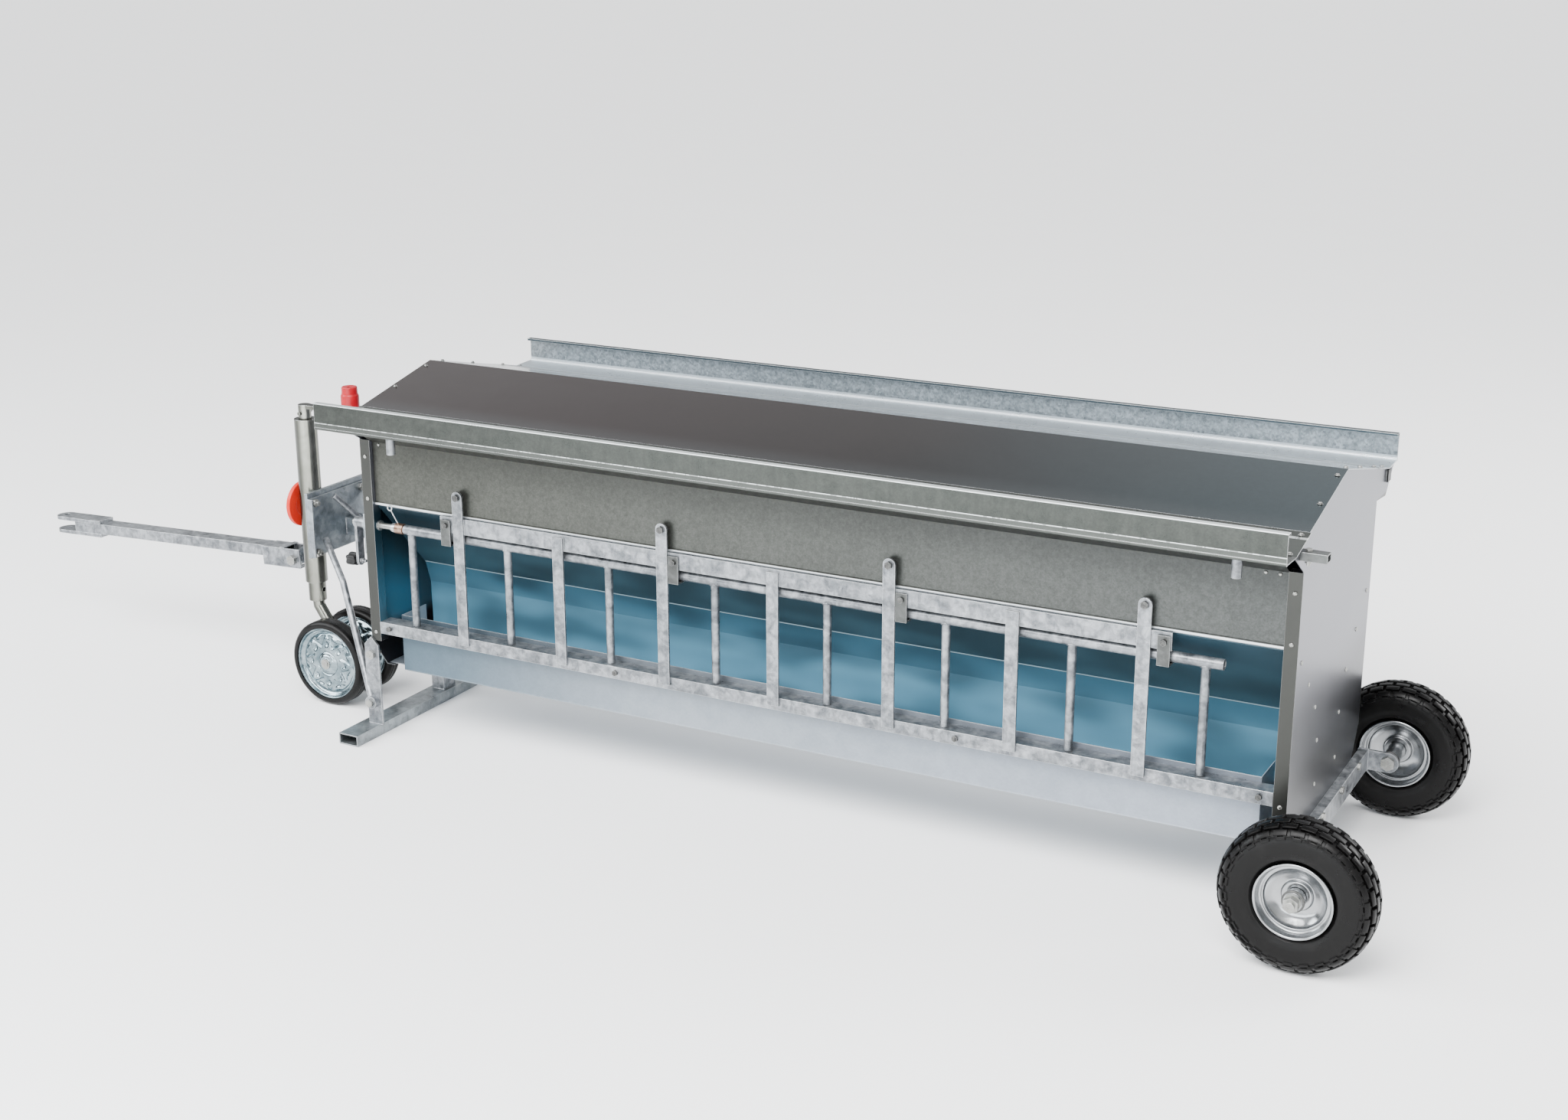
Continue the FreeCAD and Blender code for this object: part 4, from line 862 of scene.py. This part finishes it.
# ---- fixings --------------------------------------------------------------------------------
def dome(centre, axis, radius, height, segments=20):
    profile = [(0.05 * MM, 0.0), (radius, 0.0), (radius, height * 0.25)]
    profile += [(radius * math.cos(t * math.pi / 12),
                 height * (0.25 + 0.75 * math.sin(t * math.pi / 12))) for t in range(1, 6)]
    profile.append((0.05 * MM, height))
    return lathe(profile, centre, axis, segments)


def hex_head(centre, axis, radius, height):
    """Hexagon head with its corners turned down, on a thin washer."""
    side, up = frame_of(axis)
    axis = axis.normalized()
    washer = lathe([(0.05 * MM, 0.0), (radius * 1.25, 0.0), (radius * 1.25, height * 0.2),
                    (0.05 * MM, height * 0.2)], centre, axis, 24)
    verts = []
    for share, size in ((0.2, 1.0), (0.86, 1.0), (1.0, 0.86)):
        for i in range(6):
            angle = math.tau * i / 6
            out = side * math.cos(angle) + up * math.sin(angle)
            verts.append(centre + out * radius * size + axis * height * share)
    faces = [(a + i, a + (i + 1) % 6, a + 6 + (i + 1) % 6, a + 6 + i) for a in (0, 6) for i in range(6)]
    faces += [tuple(range(12, 18)), tuple(range(5, -1, -1))]
    return joined([washer, (verts, faces)])


def sheet_rivets():
    """Domed rivets on the panels, and washered screws along the roof's ends."""
    parts = []
    for low, high in solids_of("sheet_fixings"):
        middle, size = (low + high) / 2, high - low
        thin = min(range(3), key=lambda i: size[i])
        radius = max(size) / 2
        if thin == 2 or size.z > size.x * 0.3 and abs(size.x - size.y) < 0.1 * MM:
            parts.append(hex_head(Vector((middle.x, middle.y, high.z - 4 * MM)), AXES["Z"], radius * 0.75,
                                  4 * MM))
            continue
        way = Vector((0, 0, 0))
        body_middle = (cad_low + cad_high) / 2 if thin == 1 else Vector(((LEFT_X + RIGHT_X) / 2, 0, 0))
        way[thin] = math.copysign(1, middle[thin] - body_middle[thin])
        start = middle.copy()
        start[thin] = low[thin] if way[thin] > 0 else high[thin]
        parts.append(dome(start, way, radius, size[thin]))
    verts, faces = joined(parts)
    piece("rivets_and_screws", verts, faces, ZINC["bolt"], "base", ["sheet_fixings"], 40.0)


def thread(name, centre, axis, radius, length, pitch, body):
    """A threaded length: ridges along a rod."""
    turns = int(length / pitch)
    profile = [(0.2 * MM, 0.0)]
    for i in range(turns):
        profile.append((radius * 0.90, i * pitch + 0.05 * pitch))
        profile.append((radius, (i + 0.5) * pitch))
    profile += [(radius * 0.85, turns * pitch), (0.2 * MM, turns * pitch)]
    verts, faces = lathe(profile, centre, axis, 24)
    piece(name, verts, faces, ZINC["bolt"], body, sharp=30.0)


BEAD_SIDES = 8


def weld(points, size, seed):
    """A weld bead: a lumpy round run along a line of points."""
    lumps = random.Random(seed)
    total = sum((b - a).length for a, b in zip(points, points[1:]))
    count = max(3, int(total / (size * 0.55)))
    steps = []
    for i in range(count + 1):
        reach = total * i / count
        for a, b in zip(points, points[1:]):
            span = (b - a).length
            if reach <= span + 1e-9:
                steps.append(a.lerp(b, reach / span))
                break
            reach -= span
    verts, faces = [], []
    for i, p in enumerate(steps):
        ahead = steps[min(i + 1, len(steps) - 1)] - steps[max(i - 1, 0)]
        side, up = frame_of(ahead)
        r = size * (0.42 + 0.12 * (i % 2) + lumps.uniform(-0.05, 0.05))
        if i in (0, len(steps) - 1):
            r *= 0.5
        for k in range(BEAD_SIDES):
            turn = math.tau * k / BEAD_SIDES
            verts.append(p + side * r * math.cos(turn) + up * r * math.sin(turn))
    for i in range(len(steps) - 1):
        a, b = i * BEAD_SIDES, (i + 1) * BEAD_SIDES
        faces += [(a + k, a + (k + 1) % BEAD_SIDES, b + (k + 1) % BEAD_SIDES,
                   b + k) for k in range(BEAD_SIDES)]
    faces += [tuple(range(BEAD_SIDES - 1, -1, -1)), tuple(range(len(verts) - BEAD_SIDES, len(verts)))]
    return verts, faces


def sliding_grille_welds(side):
    """A bead round the top of every round bar, where it meets the tube."""
    parts = []
    boxes = solids_of("sliding_grille_" + side)
    tube = max(boxes, key=lambda b: b[1].x - b[0].x)
    radius = (tube[1].z - tube[0].z) / 2
    for i, (low, high) in enumerate(boxes):
        if (low, high) == tube:
            continue
        middle = (low + high) / 2
        bar = (high.x - low.x) / 2
        points = []
        for k in range(25):
            angle = math.tau * k / 24
            x, y = bar * 1.02 * math.cos(angle), bar * 1.02 * math.sin(angle)
            drop = math.sqrt(max(radius ** 2 - y ** 2, 0.0))
            points.append(Vector((middle.x + x, middle.y + y, (tube[0].z + tube[1].z) / 2 - drop)))
        parts.append(weld(points, 5 * MM, i))
    verts, faces = joined(parts)
    piece("bar_welds_" + side, verts, faces, ZINC["hot_dip"], "slide_" + side, sharp=60.0)


def outline_at(low, high, z):
    """A closed line round a box at one height."""
    a = Vector((low.x, low.y, z))
    b = Vector((high.x, low.y, z))
    c = Vector((high.x, high.y, z))
    d = Vector((low.x, high.y, z))
    return [a, b, c, d, a]


def frame_welds():
    """Beads where uprights meet the skid, lugs meet the axle beam and brackets meet the jack."""
    parts = []
    foot_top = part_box("skid_foot")[1].z
    for i, (low, high) in enumerate(solids_of("skid_uprights")):
        if low.z < foot_top + MM:
            parts.append(weld(outline_at(low, high, foot_top), 4 * MM, 10 + i))
    beam = max(solids_of("axle_beam"), key=lambda b: b[1].y - b[0].y)
    for sign in (-1, 1):
        y = beam[0].y if sign < 0 else beam[1].y
        low, high = beam
        corners = [(low.x, low.z), (high.x, low.z), (high.x, high.z), (low.x, high.z), (low.x, low.z)]
        parts.append(weld([Vector((x, y, z)) for x, z in corners], 5 * MM, 20 + sign))
    plate_low, plate_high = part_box("jack_bracket")
    tube_low, tube_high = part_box("jack_outer_tube")
    middle = (tube_low + tube_high) / 2
    reach = (tube_high.x - tube_low.x) / 2
    side_y = math.sqrt(max(reach ** 2 - (plate_low.x - middle.x) ** 2, 0.0))
    for sign in (-1, 1):
        y = middle.y + sign * side_y
        parts.append(weld([Vector((plate_low.x, y, plate_low.z)), Vector((plate_low.x, y, plate_high.z))],
                          5 * MM, 30 + sign))
    plate_low, plate_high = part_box("tow_plate")
    beam_low, beam_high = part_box("tow_beam")
    tow_half = 25 * MM
    for y in (-tow_half, tow_half):
        z = (beam_low.z + beam_high.z) / 2
        parts.append(weld([Vector((beam_low.x, y, z - tow_half)), Vector((beam_low.x, y, z + tow_half))],
                          6 * MM, 40))
    verts, faces = joined(parts)
    piece("frame_welds", verts, faces, ZINC["hot_dip"], "base", sharp=60.0)


def drawbar_welds():
    """Beads along the fork plates and cheeks on the draw bar's tube."""
    parts = []
    tube_low, tube_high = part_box("drawbar_tube")
    slope = (tube_high.z - tube_low.z - 30 * MM) / (tube_high.x - tube_low.x)
    for i, (low, high) in enumerate(solids_of("drawbar_fork")):
        rise = (high.z - low.z) - 10 * MM
        upper = (low.z + high.z) / 2 > tube_low.z + 15 * MM
        for sign in (-1, 1):
            y = sign * 25 * MM
            end_z = low.z + rise if upper else high.z - 0.5 * MM
            start_x = tube_low.x + 4 * MM
            start_z = end_z - slope * (high.x - start_x)
            parts.append(weld([Vector((start_x, y, start_z)), Vector((high.x, y, end_z))], 4 * MM, 50 + i))
    verts, faces = joined(parts)
    piece("drawbar_welds", verts, faces, ZINC["hot_dip"], "drawbar", sharp=60.0)


def axle_threads():
    """Threaded ends of the axle bolts, outside their nuts."""
    for side, sign in (("front", -1), ("rear", 1)):
        wheel = centre_of("hub_" + side)
        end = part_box("axle_bolts")[0 if sign < 0 else 1].y
        start = Vector((wheel.x, end - sign * 7 * MM, wheel.z))
        thread("axle_thread_" + side, start, AXES["Y"] * sign, 10.2 * MM, 7.2 * MM, 2.4 * MM, "base")


def screw_threads():
    """Thread on the bare stretch of each adjusting screw, from the bush to the coupling."""
    for side in ("front", "rear"):
        _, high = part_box("adjusting_screw_" + side)
        joint = next(j for j in frame["joints"] if j["name"] == "screw_turn_" + side)
        start = Vector((high.x - 118 * MM, joint["pos_m"][1], joint["pos_m"][2]))
        thread("screw_thread_" + side, start, AXES["X"], 7.95 * MM, 117 * MM, 3.0 * MM, "screw_" + side)


# ---- setting --------------------------------------------------------------------------------
CAMERA_AT = Vector((2.8014, -4.3330, 2.0800))
CAMERA_PITCH = math.radians(17.28)
CAMERA_YAW = math.radians(-28.49)
CAMERA_ROLL = math.radians(-0.21)
CAMERA_LENS = 48.41


def camera():
    data = bpy.data.cameras.new("camera")
    data.lens = CAMERA_LENS
    data.sensor_width = 36.0
    data.clip_end = 100.0
    obj = bpy.data.objects.new("camera", data)
    bpy.context.scene.collection.objects.link(obj)
    flat = Vector((math.sin(CAMERA_YAW), math.cos(CAMERA_YAW), 0))
    ahead = flat * math.cos(CAMERA_PITCH) - AXES["Z"] * math.sin(CAMERA_PITCH)
    level = Vector((math.cos(CAMERA_YAW), -math.sin(CAMERA_YAW), 0))
    up = level.cross(ahead)
    right = level * math.cos(CAMERA_ROLL) + up * math.sin(CAMERA_ROLL)
    up = up * math.cos(CAMERA_ROLL) - level * math.sin(CAMERA_ROLL)
    turn = Matrix((right, up, -ahead)).transposed().to_4x4()
    obj.matrix_world = Matrix.Translation(CAMERA_AT) @ turn
    bpy.context.scene.camera = obj


def area_light(name, at, target, size, power, colour=(1, 1, 1)):
    data = bpy.data.lights.new(name, "AREA")
    data.shape = "RECTANGLE"
    data.size, data.size_y = size
    data.energy = power
    data.color = colour
    obj = bpy.data.objects.new(name, data)
    bpy.context.scene.collection.objects.link(obj)
    obj.visible_camera = False
    obj.location = at
    obj.rotation_euler = (Vector(target) - Vector(at)).to_track_quat("-Z", "Y").to_euler()


def sky(world):
    """Studio walls: dim at the horizon, bright overhead, with soft dark bays round the sides."""
    world.use_nodes = True
    tree = world.node_tree
    background = tree.nodes["Background"]
    way = tree.nodes.new("ShaderNodeTexCoord").outputs["Generated"]
    split = tree.nodes.new("ShaderNodeSeparateXYZ")
    tree.links.new(way, split.inputs["Vector"])
    rise = tree.nodes.new("ShaderNodeMapRange")
    rise.interpolation_type = "SMOOTHSTEP"
    tree.links.new(split.outputs["Z"], rise.inputs["Value"])
    for socket, number in (("From Min", 0.0), ("From Max", 0.75), ("To Min", 0.55), ("To Max", 1.7)):
        rise.inputs[socket].default_value = number
    bays = tree.nodes.new("ShaderNodeTexNoise")
    bays.inputs["Scale"].default_value = 1.7
    bays.inputs["Detail"].default_value = 0.0
    tree.links.new(way, bays.inputs["Vector"])
    depth = tree.nodes.new("ShaderNodeMapRange")
    tree.links.new(bays.outputs["Fac"], depth.inputs["Value"])
    for socket, number in (("From Min", 0.35), ("From Max", 0.65), ("To Min", 0.35), ("To Max", 1.4)):
        depth.inputs[socket].default_value = number
    both = tree.nodes.new("ShaderNodeMath")
    both.operation = "MULTIPLY"
    tree.links.new(rise.outputs["Result"], both.inputs[0])
    tree.links.new(depth.outputs["Result"], both.inputs[1])
    background.inputs["Color"].default_value = (0.96, 0.98, 1.0, 1.0)
    tree.links.new(both.outputs[0], background.inputs["Strength"])


def studio():
    world = bpy.data.worlds.new("studio")
    bpy.context.scene.world = world
    sky(world)
    area_light("key", (1.8, -4.2, 5.0), (0.2, 0, 0.3), (4.5, 3.0), 560)
    area_light("fill", (-4.8, -2.6, 3.0), (0, 0, 0.3), (3.0, 2.5), 260, (0.93, 0.97, 1.0))
    area_light("back", (5.2, 3.4, 3.0), (0.8, 0, 0.4), (3.0, 2.0), 260)
    area_light("low", (0.4, -3.0, 0.55), (0.4, 0, 0.35), (4.5, 0.5), 60, (0.93, 0.98, 1.0))
    sun = bpy.data.lights.new("daylight", "SUN")
    sun.energy = 3.8
    sun.angle = math.radians(45)
    sun_lamp = bpy.data.objects.new("daylight", sun)
    bpy.context.scene.collection.objects.link(sun_lamp)
    sun_lamp.rotation_euler = Vector((0.25, 0.55, -0.80)).to_track_quat("-Z", "Y").to_euler()
    s = Shader("floor_paper", 0.0, 0.9)
    s.colour(s.mix(s.noise(2.0, 2.0), (0.93, 0.93, 0.93), (0.95, 0.95, 0.95)))
    mesh = bpy.data.meshes.new("floor")
    reach = 80.0
    corners = [(-reach, -reach, -0.0005), (reach, -reach, -0.0005), (reach, reach, -0.0005),
               (-reach, reach, -0.0005)]
    mesh.from_pydata(corners, [], [(0, 1, 2, 3)])
    mesh.materials.append(s.material)
    floor = bpy.data.objects.new("floor", mesh)
    bpy.context.scene.collection.objects.link(floor)


# ---- build ----------------------------------------------------------------------------------
dress_cad_nodes()
for end in ("front", "rear"):
    running_wheel(end)
    jockey_wheel(end)
    star_knob(end)
    sliding_grille_welds(end)
jack_grip()
reflector_disc()
sheet_rivets()
frame_welds()
drawbar_welds()
axle_threads()
screw_threads()
camera()
studio()
